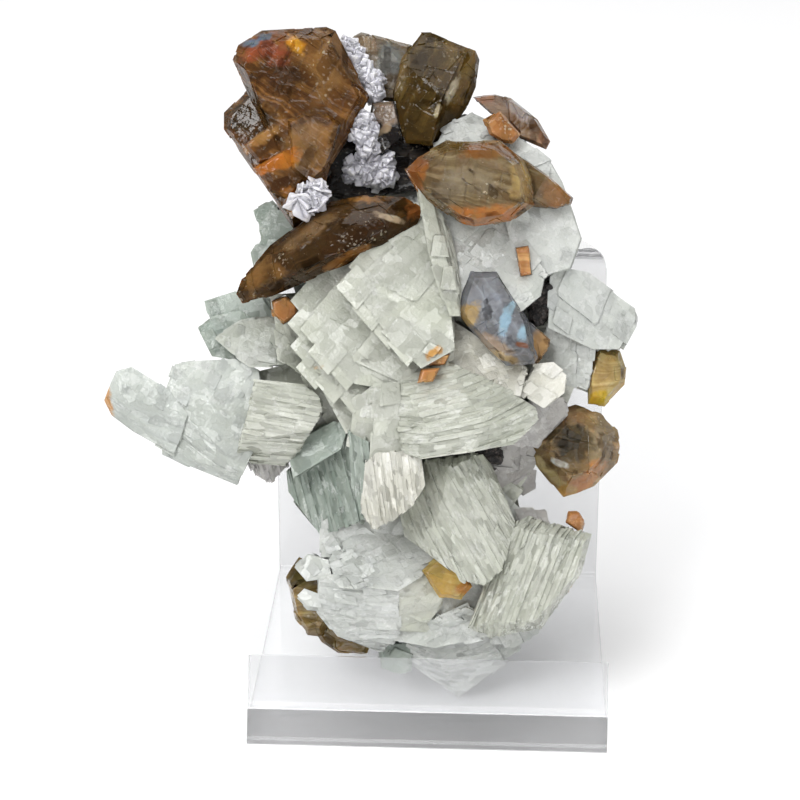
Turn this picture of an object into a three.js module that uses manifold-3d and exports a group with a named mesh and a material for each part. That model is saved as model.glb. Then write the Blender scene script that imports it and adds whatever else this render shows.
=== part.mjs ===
// A heulandite specimen leaning in a clear acrylic easel stand.
// Millimetres, +Z up. Origin: middle of the underside of the stand's plate.
import * as THREE from 'three';
import { ConvexGeometry } from 'three/addons/geometries/ConvexGeometry.js';
import { mergeVertices } from 'three/addons/utils/BufferGeometryUtils.js';
import Module from 'manifold-3d';

const wasm = await Module();
wasm.setup();

// Driving dimensions of the stand: one bent sheet
const STAND_WIDTH = 50;
const SHEET = 3;
const PLATE_DEPTH = 48.4;
const PANEL_HEIGHT = 57;
const PANEL_LEAN = THREE.MathUtils.degToRad(2);
const PANEL_CORNER = 4;
const LIP_LENGTH = 13;
const LIP_LEAN = THREE.MathUtils.degToRad(27);
const OUTER_BEND = 2.2;
const INNER_BEND = 1;
const ARC_STEPS = 5;

// Driving dimensions of the specimen: its own frame leans back in the stand
const SPECIMEN_PLACE = new THREE.Vector3(-4.7, 0, 42.8);
const SPECIMEN_LEAN = THREE.MathUtils.degToRad(23.1);
const SPECIMEN_TURN = THREE.MathUtils.degToRad(2.67);
const VIEW_DISTANCE = 313.5;
const GAP = 0.3;
const PLATE_OVERLAP = 0.04;
const LARGE = 200;

// Every outline below is in millimetres, x to the right and z up, measured on the specimen's
// middle plane as seen from VIEW_DISTANCE in front of it. A third value moves that corner back.
// front is the depth of the outline's face, thick how far the piece reaches behind it, inset and
// rim shape its bevel, taper its back, and lean is how fast the face recedes to the right and up.

const UPPER_LEFT = [
  {
    outline: [[-23.5, 48], [-22.75, 50], [-19.5, 52], [-10.5, 52.5], [-9.25, 52], [-4.5, 42.75],
      [-7.5, 37], [-11.5, 30.5], [-15.5, 30], [-17.5, 36.5]],
    front: -8.5, thick: 11, inset: 0.84, rim: 2.5, taper: 0.9, lean: [0.12, -0.05],
  },
  {
    outline: [[-21.25, 44], [-24.75, 40.5], [-24.75, 38.25], [-15, 24.25], [-11.5, 27.5],
      [-10, 33], [-12.5, 43]],
    front: -6.5, thick: 12, inset: 0.88, rim: 2, taper: 0.85, lean: [-0.15, 0.1],
  },
  {
    outline: [[-15.75, 39.5], [-13.75, 40.5], [-10.25, 40.25], [-8.5, 39], [-9.5, 35.5], [-11, 32],
      [-12.75, 30.5], [-15.25, 32.5]],
    front: -10, thick: 4, inset: 0.9, rim: 0.8, taper: 1, lean: [0.15, -0.1],
  },
  {
    outline: [[-22, 36], [-18.25, 39], [-16, 37.5], [-15, 34.5], [-20, 33.5]],
    front: -7.8, thick: 4, inset: 0.85, rim: 0.8, taper: 1,
  },
  {
    outline: [[-20.5, 32.75], [-15, 36.5], [-12, 33], [-15.5, 28.5], [-18.5, 29.5]],
    front: -8.6, thick: 4, inset: 0.85, rim: 0.8, taper: 1,
  },
];

const UPPER_RIGHT = [
  {
    outline: [[-1, 43.25, 2], [0.25, 48, 2], [1.5, 49.75, 2], [3, 51.75, 3], [4.25, 51.75, 3],
      [9.5, 49.5, 0], [6, 42.5, -1], [4.5, 36, 0], [0.75, 36.25, 1], [0.5, 38.5, 1]],
    front: -6, thick: 12, inset: 0.94, rim: 0.4, taper: 0.85,
  },
  {
    outline: [[4.25, 51.5, 3], [10.5, 49.25, 1], [11, 48, 3], [10.5, 44.25, 3], [9.25, 41.25, 3],
      [7.75, 39, 3], [4.25, 35.5, 2], [5.5, 42.5, -1.2]],
    front: -5, thick: 10, inset: 0.98, rim: 0.2, taper: 0.9,
  },
];

const LONG = [
  {
    outline: [[-23, 15, 1], [-22.25, 17, 1], [-18.25, 21.75], [-14.75, 24.25], [-10.25, 27.75],
      [-5.25, 28.75], [0.5, 28.5], [3.25, 27], [2.25, 25], [-1.25, 22], [-8, 19.25], [-12, 17.75],
      [-18.25, 14.75], [-22.25, 13.75, 1]],
    front: -14, thick: 9, inset: 0.45, rim: 4, taper: 0.8,
  },
];

const RIGHT_FRONT = [
  {
    outline: [[0.75, 32.5], [2.5, 34.25], [6.5, 36.5], [14, 36.5], [17.25, 33.75], [18.5, 31],
      [18.75, 27.5], [15.5, 25.25], [10.5, 24.5], [8.25, 25.25], [3.75, 28.25], [2.5, 29.5]],
    front: -15.5, thick: 10, inset: 0.8, rim: 3.5, taper: 0.9, lean: [0.12, 0.15],
  },
  {
    outline: [[15.5, 35.25], [20.5, 31.75, -2], [24.25, 28.5], [24, 27.75], [22, 27], [18, 27.5]],
    front: -8.5, thick: 7, inset: 0.9, rim: 1, taper: 0.8,
  },
];

const RIGHT_BACK = [
  {
    outline: [[10.25, 42.75], [13.25, 43], [15.5, 42.5], [16, 39.5], [12.75, 40.5]],
    front: -1.5, thick: 8, inset: 0.9, rim: 0.8, taper: 0.9, lean: [0.1, 0.4],
  },
  {
    outline: [[14.75, 42.75], [15.5, 42.5], [19.25, 39.5], [21, 36.5], [20.5, 35.5], [17, 37],
      [15, 39.5]],
    front: -2.5, thick: 9, inset: 0.8, rim: 1.5, taper: 0.9, lean: [0.3, 0.4],
  },
];

const GREY_BLUE = [
  {
    outline: [[9.75, 18.5], [13.5, 18.5], [15, 15.5], [17, 13], [18, 11], [19.25, 6],
      [18.75, 5.25], [15, 5], [11.75, 8], [8.75, 11.5], [8.25, 12.75], [8.5, 14.75]],
    front: -13.5, thick: 9, inset: 0.82, rim: 2.2, taper: 0.9, lean: [0.15, 0.35],
  },
  {
    outline: [[17, 12], [18.5, 10.75], [21, 8.5], [20.75, 7], [19.25, 5.25], [17, 6]],
    front: -8.5, thick: 5, inset: 0.9, rim: 0.8, taper: 0.9,
  },
];

const AMBER_UPPER = [
  {
    outline: [[27.5, 6.5], [28, 7.5], [31, 7], [31.75, 4.75], [31.5, 2.25], [28.75, -0.75],
      [26.5, -0.5], [26.5, 3.5]],
    front: -4, thick: 7, inset: 0.75, rim: 1.5, taper: 0.9, lean: [0.2, 0.1],
  },
];

const AMBER_LOWER = [
  {
    outline: [[18.5, -8], [18.75, -5.5], [22.25, -1.5], [24.75, -0.75], [28.25, -2], [30.5, -4.25],
      [31, -6.5], [30.5, -8.75], [27.25, -12], [23, -13.75], [19.75, -9.75]],
    front: -7.5, thick: 10, inset: 0.6, rim: 3.5, taper: 0.75, lean: [0.1, 0.1],
  },
];

const BOTTOM_LEFT = [
  {
    outline: [[-16, -25], [-15.25, -23.75], [-14.25, -22.25], [-11, -24], [-9.5, -30], [-11, -33.25],
      [-13, -33], [-14.75, -30.75]],
    front: -3.5, thick: 8, inset: 0.8, rim: 1.8, taper: 0.85,
  },
  {
    outline: [[-12, -32.5], [-9, -30], [-4, -33.5], [-4.75, -35.75], [-8.75, -35.5], [-11, -34]],
    front: -1, thick: 6, inset: 0.85, rim: 1, taper: 0.9,
  },
];

const BOTTOM_CENTRE = [
  {
    outline: [[3, -24], [5.25, -22], [8.5, -23.75], [10, -26.25], [8.5, -28], [5.5, -27.75]],
    front: -10.5, thick: 7, inset: 0.82, rim: 1, taper: 0.9, lean: [0.1, 0.3],
  },
];

const TOP_BACK = [
  {
    outline: [[-8.5, 50.25], [-5.5, 51.75], [-2.25, 51], [1.5, 50], [1, 42], [-7, 42.5]],
    front: 1.5, thick: 8, inset: 0.9, rim: 1, taper: 0.9, lean: [0, 0.15],
  },
];

const SMOKY_CENTRE = [
  {
    outline: [[-4, 42], [1.5, 42.25], [1.5, 38], [-1, 36], [-2.75, 34.5], [-5, 36]],
    front: -3.5, thick: 10, inset: 0.9, rim: 0.8, taper: 0.9, lean: [0, 0.2],
  },
  {
    outline: [[-11, 37], [-4, 38], [1, 37.5], [4.5, 35], [4.5, 30], [-8, 28], [-12, 30]],
    front: -1, thick: 10, inset: 0.95, rim: 0.8, taper: 0.9,
  },
];

const ORANGE = [
  [{
    outline: [[11.75, 39.5], [14, 40.75], [15.5, 39], [17, 37.5], [16, 36.25], [14.25, 36.5],
      [12.5, 37.5]],
    front: -7.5, thick: 4.5, inset: 0.75, rim: 0.8, taper: 0.9,
  }],
  [{
    outline: [[23.25, -17.25], [23.75, -15.75], [25.25, -15.75], [26, -17], [25.5, -18.75]],
    front: -8, thick: 4, inset: 0.8, rim: 0.6, taper: 0.9,
  }],
  [{
    outline: [[16.25, 21.5], [18, 21.75], [18.5, 17.75], [17, 17.5]],
    front: -11, thick: 3.5, inset: 0.9, rim: 0.4, taper: 1,
  }],
  [{
    outline: [[3.75, 5], [4.75, 6.25], [7, 6.5], [6.25, 5]],
    front: -14, thick: 4, inset: 0.8, rim: 0.5, taper: 1,
  }],
  [{
    outline: [[2.5, 2.5], [3, 4.25], [5.5, 4.5], [4.5, 2.75]],
    front: -15.5, thick: 4, inset: 0.8, rim: 0.5, taper: 1,
  }],
  [{
    outline: [[-18.25, 14], [-16.25, 14.75], [-14.5, 13.5], [-14.5, 12], [-16.5, 10.75], [-18, 12]],
    front: -9, thick: 5, inset: 0.8, rim: 0.7, taper: 1,
  }],
];

const ROSETTE = [
  {
    outline: [[-15.5, 27.5], [-14, 29.75], [-11.5, 30.5], [-10.75, 29.5], [-11.5, 27.5],
      [-13.25, 26.25]],
    front: -12.5, thick: 3, inset: 0.7, rim: 1, taper: 0.8,
  },
];

// Chains of small white crystals: a place for each, their depth and size
const WHITE_CLUSTERS = [
  {
    places: [[-8, 49.5], [-6.75, 48], [-7.25, 46.5], [-5.75, 46.25], [-5.5, 44.5], [-4.25, 45],
      [-4.25, 43.25]],
    front: -0.75, size: 2.6,
  },
  {
    places: [[-6.25, 39.75], [-5, 39], [-5.25, 37.25], [-4.5, 35.75]],
    front: -4.6, size: 2.2,
  },
  {
    places: [[-6.25, 32.5], [-4.5, 33.5], [-2.75, 33.25], [-4.5, 31.75], [-2.5, 31.5]],
    front: -2.2, size: 2.7,
  },
];

const DARK_ROCK = [
  [{
    outline: [[18.5, 13.75], [19.5, 15.5], [21, 16.5], [21, 13], [20, 11], [18.75, 11]],
    front: -7, thick: 5, inset: 0.9, rim: 0.3, taper: 1,
  }],
  [{
    outline: [[10.5, -6.75], [14, -6.5], [14, -8.5], [11, -8.5]],
    front: -9, thick: 5, inset: 0.9, rim: 0.3, taper: 1,
  }],
];

// The pale mass: plates is the number of plates in a block. They are stacked square to its face,
// or along grain (x, z, y) where the block shows them edge-on.
const PALE = [
  // stepped face above the middle
  {
    outline: [[-6.75, 15.75], [-2.25, 20.5], [3, 25.75], [4, 21], [7, 12.25], [7.5, 7.5], [3, 5],
      [-2.5, 10]],
    front: -12.6, thick: 2.5, lean: [0.12, 0.26],
  },
  {
    outline: [[-12, 8.5], [-6.5, 14.75], [3, 26], [7, 12.5], [7.5, 6], [0, 1.5], [-6.5, 2.5],
      [-9.5, 6]],
    front: -11.3, thick: 2.5, lean: [0.1, 0.24],
  },
  {
    outline: [[-13.25, 14.5], [-10, 18], [2.5, 28], [7, 12], [6.5, 4], [-5, 0], [-11.75, 4.5]],
    front: -9.8, thick: 2.5, lean: [0.08, 0.22],
  },
  {
    outline: [[-12, 12], [-8, 20], [2, 28], [8, 10], [4, 2], [-7.5, -4.25], [-11.5, 3]],
    front: -8.2, thick: 16, lean: [0.08, 0.2],
  },
  // ridge beside it and the mass at the upper right
  {
    outline: [[2.5, 30], [4.5, 28.5], [7, 24, 2], [9, 15, 2], [8.5, 12], [7, 12], [4, 21]],
    front: -13.2, thick: 12, lean: [0.5, 0.1],
  },
  {
    outline: [[14.75, 26], [21, 33.75], [22.75, 30.75], [25.5, 22.75], [24, 18.5], [20.5, 17.5],
      [16, 20.5]],
    front: -7.5, thick: 12, lean: [0.25, 0.2], plates: 2,
  },
  {
    outline: [[4.25, 28.5], [8.5, 26], [15, 26], [20.5, 18.25], [19.75, 14.75], [17, 12.5],
      [7.75, 14]],
    front: -9.5, thick: 12, lean: [0.05, 0.3], plates: 2,
  },
  {
    outline: [[5, 36], [6.5, 39], [10, 40.5], [14.5, 38.5], [21, 34], [20, 29], [8, 30]],
    front: -5, thick: 14, lean: [0.05, 0.6], plates: 2,
  },
  // right block and its lower extension
  {
    outline: [[21.25, 17.25], [23, 18.25], [26.25, 17.75], [29.75, 15.25], [33.25, 12.75],
      [33.25, 11], [32, 9.25], [31, 7], [27.25, 7], [21, 10]],
    front: -5.5, thick: 10, lean: [0.3, 0.12], plates: 2,
  },
  {
    outline: [[21, 10.5], [27.25, 8.5], [27, 4.5], [26.25, 1.5], [23.5, 2.5], [20, 4.5]],
    front: -4.5, thick: 9, lean: [-0.15, -0.15], plates: 2,
  },
  // left arm
  {
    outline: [[-41.75, 0, 2], [-41.25, 1.5], [-40, 4], [-38, 4.75], [-32.75, 1.5], [-30, -2],
      [-32, -7.5, 2], [-37.75, -4.25, 2], [-40.75, -2, 2]],
    front: -8, thick: 6, lean: [-0.1, 0.25], plates: 2,
  },
  {
    outline: [[-33.25, 1], [-31.75, 5], [-28.5, 5.5], [-23.25, 5.75], [-20, 4.25], [-19, -3],
      [-22.25, -10, 1], [-23, -12, 3], [-30, -8.5, 3], [-33.5, -7.75, 3]],
    front: -9, thick: 8, lean: [-0.05, 0.3], plates: 2,
  },
  {
    outline: [[-20.5, 3], [-13.5, 2.25], [-11.25, 0.25], [-11.25, -2], [-12.5, -4.25],
      [-14, -7, 4], [-16.25, -9.25, 6], [-21.75, -8.75, 5], [-23, -7.5, 3], [-22.5, -6, 1]],
    front: -12, thick: 10, lean: [0.05, 0.2], grain: [0.15, 0.9, -0.35], plates: 5,
  },
  {
    outline: [[-21.75, -8], [-15, -8], [-17, -10.5], [-18.5, -11.5], [-20.5, -10.5]],
    front: -5, thick: 5, lean: [0.1, -0.4], grain: [0.9, 0.3, 0.2], plates: 2,
  },
  {
    outline: [[-20, 4], [-12, 6], [-6, 4], [-6, -4], [-12, -5], [-20, -5]],
    front: -5, thick: 12,
  },
  // left upper plates
  {
    outline: [[-27.25, 13.75], [-23.25, 15], [-18, 14], [-17.5, 9], [-26.5, 10.5]],
    front: -2.5, thick: 6, lean: [-0.2, 0.35], plates: 2,
  },
  {
    outline: [[-28.25, 10.25], [-26.5, 11.5], [-22.5, 12.25], [-18, 10], [-20, 5.5],
      [-26.25, 6.5]],
    front: -4, thick: 7, lean: [-0.2, 0.25], plates: 2,
  },
  {
    outline: [[-26, 8.75], [-22.5, 11], [-17.25, 12], [-14, 10], [-12.75, 7.5], [-16.25, 5],
      [-21, 5], [-23.75, 6.75]],
    front: -6.5, thick: 8, lean: [-0.1, 0.5], plates: 2,
  },
  {
    outline: [[-18, 14.5], [-13.25, 15], [-8, 8], [-8, 3.5], [-14, 3.75], [-17, 6]],
    front: -7, thick: 12, lean: [0.5, 0.2], plates: 2,
  },
  {
    outline: [[-14.5, 5], [-9, 4], [-7, -2], [-9.5, -4], [-12, 0]],
    front: -7, thick: 12, lean: [0.4, -0.2],
  },
  // blue-green blocks at the back, upper left
  {
    outline: [[-20.5, 26.75], [-18.25, 28], [-14, 23.5], [-12, 20], [-19, 22.25]],
    front: 1.5, thick: 8, lean: [-0.35, 0.2], plates: 2,
  },
  {
    outline: [[-20.75, 20.75], [-19.5, 22.75], [-14, 22.5], [-12, 16], [-20.25, 18.5]],
    front: 0.5, thick: 9, lean: [-0.35, 0.1], plates: 2,
  },
  // central block with its edge-on plates
  {
    outline: [[-0.5, 3, 4.5], [6.5, 5.5, 5.5], [15, 1.75, 4.5], [19, -1, 4.5], [19.5, -2.75, 3.5],
      [16, -6.25, 2], [10, -7.25], [3, -8.25, 0.5], [0.25, -7.5, 1.5], [-0.5, -3.25, 3.5],
      [4, -4], [12, -3.5]],
    front: -17.5, thick: 15, grain: [-0.18, 0.9, -0.35], plates: 5,
  },
  {
    outline: [[16.75, 1], [19, 4.75], [21.5, 5], [23.25, 3.5], [23, 1], [20.5, -1]],
    front: -12, thick: 9, lean: [-0.2, 0.4], plates: 2,
  },
  {
    outline: [[7, 11.5], [10, 8.5], [15, 5.5], [18, 4.5], [17, 0.5], [6, 3]],
    front: -10.5, thick: 12, lean: [0, 0.55],
  },
  // column below the stepped face, and the block under it
  {
    outline: [[-7.25, -6.25], [-6.5, 0], [-4, 2], [-3, 2.25], [-3, -8.5]],
    front: -13.5, thick: 12, lean: [-0.45, 0],
  },
  {
    outline: [[-3.5, 2], [-0.5, 2.25], [0.25, -4.5], [-0.25, -9], [-4, -8.5]],
    front: -14.75, thick: 12, lean: [0.2, 0.1],
  },
  {
    outline: [[-5, -9], [-3.5, -7.5], [0.75, -7], [3, -8.25], [3.5, -12], [1.75, -14.75],
      [-0.75, -16.75], [-3.75, -18.25, 2], [-5.5, -16, 1]],
    front: -17, thick: 13, lean: [0.18, 0.15], grain: [0.95, 0.15, -0.2], plates: 3,
  },
  {
    outline: [[-7.25, -4.5], [-4, -6], [-4, -16], [-5.5, -16.25], [-7, -12]],
    front: -14, thick: 12, lean: [-0.8, 0], grain: [0.95, 0.1, -0.2], plates: 2,
  },
  // teal block on the left, below the arm, with a plate in front of it
  {
    outline: [[-16, -10.5], [-15.75, -13], [-14, -14.5], [-11.25, -19], [-8.75, -18.25],
      [-5, -17], [-5, -9], [-7.5, -4.5], [-9.5, -5], [-14, -8]],
    front: -5.5, thick: 13, lean: [-0.55, -0.1], grain: [0.9, 0.25, -0.2], plates: 3,
  },
  {
    outline: [[-15.5, -7.25], [-14.75, -10.75], [-8.5, -7], [-7.5, -4], [-9.5, -3], [-14, -5.5]],
    front: -8.5, thick: 5, lean: [-0.35, 0.3], plates: 2,
  },
  // lower middle block with diagonal plates
  {
    outline: [[3.75, -8.5, 3], [11.5, -7.5, 1], [12.75, -9, 2], [16.25, -17.25, 2],
      [14.5, -23.75], [12, -26.25], [9, -25.5], [0.5, -19, 3], [0, -16, 3.5], [7, -9.5],
      [5, -18]],
    front: -11.5, thick: 15, grain: [0.8, 0.45, -0.3], plates: 4,
  },
  // lower right block with steep plates
  {
    outline: [[15.25, -17.75, 3], [18, -16.5, 3], [27, -19, 2], [25.5, -24.5, 2], [20, -32, 4],
      [12.75, -33.5, 4], [9.5, -32, 3.5], [12, -26.75, 3], [17.5, -18.5], [26, -20], [24.5, -25],
      [19, -31], [12.5, -31.5, 1]],
    front: -12, thick: 16, grain: [0.9, -0.35, -0.25], plates: 4,
  },
  // lower left block, druse above it and the piece beside it
  {
    outline: [[-11.5, -25], [-8.25, -24.5], [-3.75, -25], [-0.25, -26.25], [0, -32, 3],
      [-0.75, -33.75, 5], [-2.75, -35.5, 7.5], [-8.75, -33.25, 4.5], [-11.5, -29.75, 2]],
    front: -9.5, thick: 15, lean: [-0.05, 0.1], plates: 3,
  },
  {
    outline: [[-0.5, -26], [3, -23.75], [6, -28, 1], [4, -32.75, 3], [0, -32.5, 2.5]],
    front: -8.5, thick: 14, lean: [0.3, 0], plates: 2,
  },
  {
    outline: [[-8.75, -20.75], [-4.75, -17.5], [0.75, -19], [5.5, -22], [3, -25], [-0.25, -27],
      [-9, -26], [-10, -22.5]],
    front: -7.5, thick: 14, lean: [0, 0.65],
  },
  // bottom tip that stands on the plate, and small crystals beside it
  {
    outline: [[1.25, -34, 4], [4, -31, 1], [9.5, -28.5], [11.25, -33, 3], [14.75, -37, 6.5],
      [11.75, -39, 7.5], [8.25, -41.85, 8.8], [6, -40, 8], [1.25, -36.5, 6.5]],
    front: -7, thick: 16, plates: 2,
  },
  {
    outline: [[12.5, -33.5], [16.25, -34.25], [16.75, -35.25], [15.5, -36], [12.75, -36]],
    front: -1.2, thick: 5, lean: [0.2, -0.3], plates: 1,
  },
  {
    outline: [[13, -32.5], [20, -31.5], [19.5, -32.75], [16, -34.5], [13, -34.5]],
    front: -3, thick: 6, lean: [0.3, -0.2],
  },
  {
    outline: [[-3, -34.5], [1.5, -34], [1.5, -38], [-1, -38.25], [-2.5, -37.5]],
    front: -0.5, thick: 5, lean: [-0.3, -0.3], plates: 1,
  },
  // grey crystals on the right, under the central block
  {
    outline: [[15.5, -2], [19, 0], [23, 0.25], [23.5, -2], [19.25, -6.75], [16, -6]],
    front: -8.5, thick: 9, lean: [0.25, -0.2],
  },
  {
    outline: [[10, -6.5], [18, -5.5], [19.25, -7.5], [18.5, -9.5], [16.75, -10.5], [11, -9.5]],
    front: -5.5, thick: 9, lean: [0.1, -0.5],
  },
  {
    outline: [[13, -9.5], [19, -10], [18.75, -12.25], [17, -13.25], [14, -13]],
    front: -4, thick: 7, lean: [0.3, -0.4], plates: 1,
  },
  {
    outline: [[16.25, -15.5], [20.5, -15.5], [21, -18], [16, -18]],
    front: -5.5, thick: 6, lean: [0.1, 0.5],
  },
  // small white crystals at the lower left
  {
    outline: [[-14.75, -23.5], [-13, -21.75], [-10, -22.5], [-9.5, -25], [-13, -25.5]],
    front: -7.5, thick: 8, lean: [-0.4, 0.3],
  },
  {
    outline: [[-14.5, -27.75], [-13.5, -26.75], [-11.5, -27.5], [-11, -29.5], [-13, -29.25]],
    front: -7, thick: 5, lean: [-0.5, 0.1],
  },
  {
    outline: [[-11, -19.5], [-9.5, -18.75], [-8.25, -20], [-9, -22], [-11, -22]],
    front: -6, thick: 6, lean: [-0.4, 0.3],
  },
];

// The core behind the visible blocks and the plates that finish the back
const CORE = [
  {
    outline: [[-15, 29], [-11, 36], [6, 36], [17, 37], [21, 30], [22, 18], [18, 9], [-12, 8],
      [-16, 20]],
    front: -1, thick: 14, taper: 0.86,
  },
  {
    outline: [[-15, 9], [-8, 14], [16, 14], [26, 12], [25, 4], [20, -8], [14, -17], [-8, -17],
      [-13, -7]],
    front: -4, thick: 15, taper: 0.85,
  },
  {
    outline: [[-11, -16], [0, -13], [14, -13], [20, -19], [19, -28], [14, -33], [5, -35],
      [-6, -33], [-11, -27]],
    front: -5, thick: 14, taper: 0.8,
  },
  {
    outline: [[-10, 22], [0, 31], [12, 29], [14, 18], [2, 10], [-9, 13]],
    front: 10, thick: 7.6, lean: [0.1, -0.2],
  },
  {
    outline: [[8, 33], [15, 35], [20, 27], [18, 19], [9, 22]],
    front: 8, thick: 8.5, lean: [-0.3, -0.1],
  },
  {
    outline: [[-14, 17], [-6, 22], [-2, 12], [-7, 3], [-15, 7]],
    front: 6, thick: 8, lean: [0.35, 0],
  },
  {
    outline: [[0, 8], [10, 13], [20, 7], [19, -5], [8, -9], [-1, -2]],
    front: 8, thick: 7, lean: [-0.15, 0.15], plates: 2,
  },
  {
    outline: [[-12, 2], [-3, 6], [3, -3], [-1, -13], [-10, -12]],
    front: 6, thick: 7, lean: [0.25, 0.1],
  },
  {
    outline: [[-8, -14], [2, -12], [9, -19], [5, -29], [-6, -27]],
    front: 5, thick: 7, lean: [0.1, 0.3],
  },
  {
    outline: [[7, -10], [16, -13], [18, -23], [11, -30], [4, -22]],
    front: 4, thick: 8, lean: [-0.3, 0.2],
  },
];

const DEFAULTS = { inset: 1, rim: 0, taper: 0.94, lean: [0, 0], plates: 1 };
const PLATE_SHIFT = 0.45;

/** A point seen at (x, z) on the middle plane, at depth y along that line of sight. */
function sight(x, z, y) {
  const spread = 1 + y / VIEW_DISTANCE;
  return new THREE.Vector3(x * spread, y, z * spread);
}

/** The outline scaled about its middle and laid at a depth, on a plane that leans. */
function ring(outline, depth, scale, lean, followsCorners) {
  const middleX = outline.reduce((sum, corner) => sum + corner[0], 0) / outline.length;
  const middleZ = outline.reduce((sum, corner) => sum + corner[1], 0) / outline.length;
  return outline.map(([x, z, back = 0]) => {
    const fromX = (x - middleX) * scale;
    const fromZ = (z - middleZ) * scale;
    const y = depth + lean[0] * fromX + lean[1] * fromZ + (followsCorners ? back : 0);
    return sight(middleX + fromX, middleZ + fromZ, y);
  });
}

/** Corner points of one convex piece: inset front face, rim at the outline, tapered back. */
function corners(piece) {
  const { outline, front, thick, inset, rim, taper, lean } = { ...DEFAULTS, ...piece };
  return [
    ...ring(outline, front, inset, lean, true),
    ...(rim > 0 ? ring(outline, front + rim, 1, lean, true) : []),
    ...ring(outline, front + thick, taper, lean, false),
  ];
}

/** A closed three.js geometry as a manifold solid. */
function solidOf(geometry) {
  const bare = geometry.clone();
  bare.deleteAttribute('normal');
  bare.deleteAttribute('uv');
  const merged = mergeVertices(bare, 1e-4);
  return new wasm.Manifold(new wasm.Mesh({
    numProp: 3,
    vertProperties: new Float32Array(merged.attributes.position.array),
    triVerts: new Uint32Array(merged.index.array),
  }));
}

/** The convex hull of points as a solid. */
function hull(points) {
  return solidOf(new ConvexGeometry(points));
}

/** The same hull grown by the gap on every side. */
function grownHull(points, gap) {
  const grown = [];
  for (const point of points) {
    for (const x of [-gap, gap]) {
      for (const y of [-gap, gap]) {
        for (const z of [-gap, gap]) {
          grown.push(new THREE.Vector3(point.x + x, point.y + y, point.z + z));
        }
      }
    }
  }
  return hull(grown);
}

/** Joins a list of solids. */
function join(solids) {
  return solids.reduce((whole, next) => whole.add(next));
}

/** The largest body of a solid, so that no loose sliver of a cut stays. */
function mainBody(solid) {
  const bodies = solid.decompose();
  return bodies.reduce((best, next) => (next.volume() > best.volume() ? next : best));
}

/** A slab across the grain direction, from one height along it to another. */
function slab(direction, from, to) {
  const geometry = new THREE.BoxGeometry(LARGE, LARGE, to - from);
  const turn = new THREE.Quaternion().setFromUnitVectors(new THREE.Vector3(0, 0, 1), direction);
  geometry.applyQuaternion(turn);
  geometry.translate(...direction.clone().multiplyScalar((from + to) / 2).toArray());
  return solidOf(geometry);
}

/** A repeatable number from -1 to 1 for each plate of each block. */
function wobble(plate, block) {
  return Math.sin(plate * 12.9898 + block * 78.233);
}

/** One pale block: its convex form cut across the grain in plates that stand out unevenly. */
function platedBlock(block, number) {
  const { lean, plates } = { ...DEFAULTS, ...block };
  const grain = block.grain ?? [-lean[0], -lean[1], 1];
  const points = corners(block);
  if (plates < 2) return hull(points);
  const direction = new THREE.Vector3(grain[0], grain[2], grain[1]).normalize();
  const across = new THREE.Vector3(1, 0, 0).cross(direction);
  if (across.length() < 0.5) across.set(0, 1, 0).cross(direction);
  across.normalize();
  const along = direction.clone().cross(across);
  const heights = points.map((point) => point.dot(direction));
  const low = Math.min(...heights);
  const pitch = (Math.max(...heights) - low) / plates;
  const stack = [];
  for (let plate = 0; plate < plates; plate += 1) {
    const shift = across.clone().multiplyScalar(PLATE_SHIFT * wobble(plate, number));
    shift.addScaledVector(along, PLATE_SHIFT * wobble(plate + 0.5, number));
    const from = low + plate * pitch - PLATE_OVERLAP;
    const shifted = hull(points.map((point) => point.clone().add(shift)));
    stack.push(shifted.intersect(slab(direction, from, from + pitch + 2 * PLATE_OVERLAP)));
  }
  return join(stack);
}

/** Small rhombic crystals at a list of places, grown into one body. */
function cluster({ places, front, size }, number, gap = 0) {
  return join(places.map(([x, z], index) => {
    const geometry = new THREE.BoxGeometry(size + gap, size * 0.8 + gap, size * 0.7 + gap);
    geometry.rotateX(wobble(index, number) * 0.9);
    geometry.rotateZ(wobble(index + 0.3, number) * 0.9);
    const place = sight(x, z, front + 0.3 * wobble(index + 0.7, number));
    geometry.translate(place.x, place.y, place.z);
    return solidOf(geometry);
  }));
}

/** The bent sheet's section, depth across and height up, grown by a clearance on its inside. */
function standSection(clearance) {
  const frontY = -PLATE_DEPTH / 2;
  const backY = PLATE_DEPTH / 2;
  const lip = new THREE.Vector2(Math.sin(LIP_LEAN), Math.cos(LIP_LEAN));
  const lipInward = new THREE.Vector2(lip.y, -lip.x).multiplyScalar(SHEET + clearance);
  const panel = new THREE.Vector2(Math.sin(PANEL_LEAN), Math.cos(PANEL_LEAN));
  const floor = SHEET + clearance;
  const lipRoot = new THREE.Vector2(frontY, 0);
  const lipTop = lipRoot.clone().addScaledVector(lip, LIP_LENGTH + clearance);
  const lipInner = lipTop.clone().add(lipInward);
  const lipFoot = lipInner.clone().addScaledVector(lip, (floor - lipInner.y) / lip.y);
  const panelFoot = new THREE.Vector2(backY - clearance, floor);
  const panelInner = panelFoot.clone().addScaledVector(panel, PANEL_HEIGHT - SHEET + clearance);
  const panelOuter = panelInner.clone().add(new THREE.Vector2(panel.y, -panel.x)
    .multiplyScalar(SHEET + clearance));
  const outerFoot = panelOuter.clone().addScaledVector(panel, -panelOuter.y / panel.y);
  return roundedShape([
    [lipRoot, OUTER_BEND / 2], [outerFoot, OUTER_BEND], [panelOuter, 0], [panelInner, 0],
    [panelFoot, INNER_BEND], [lipFoot, INNER_BEND], [lipInner, 0], [lipTop, 0],
  ]);
}

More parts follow.
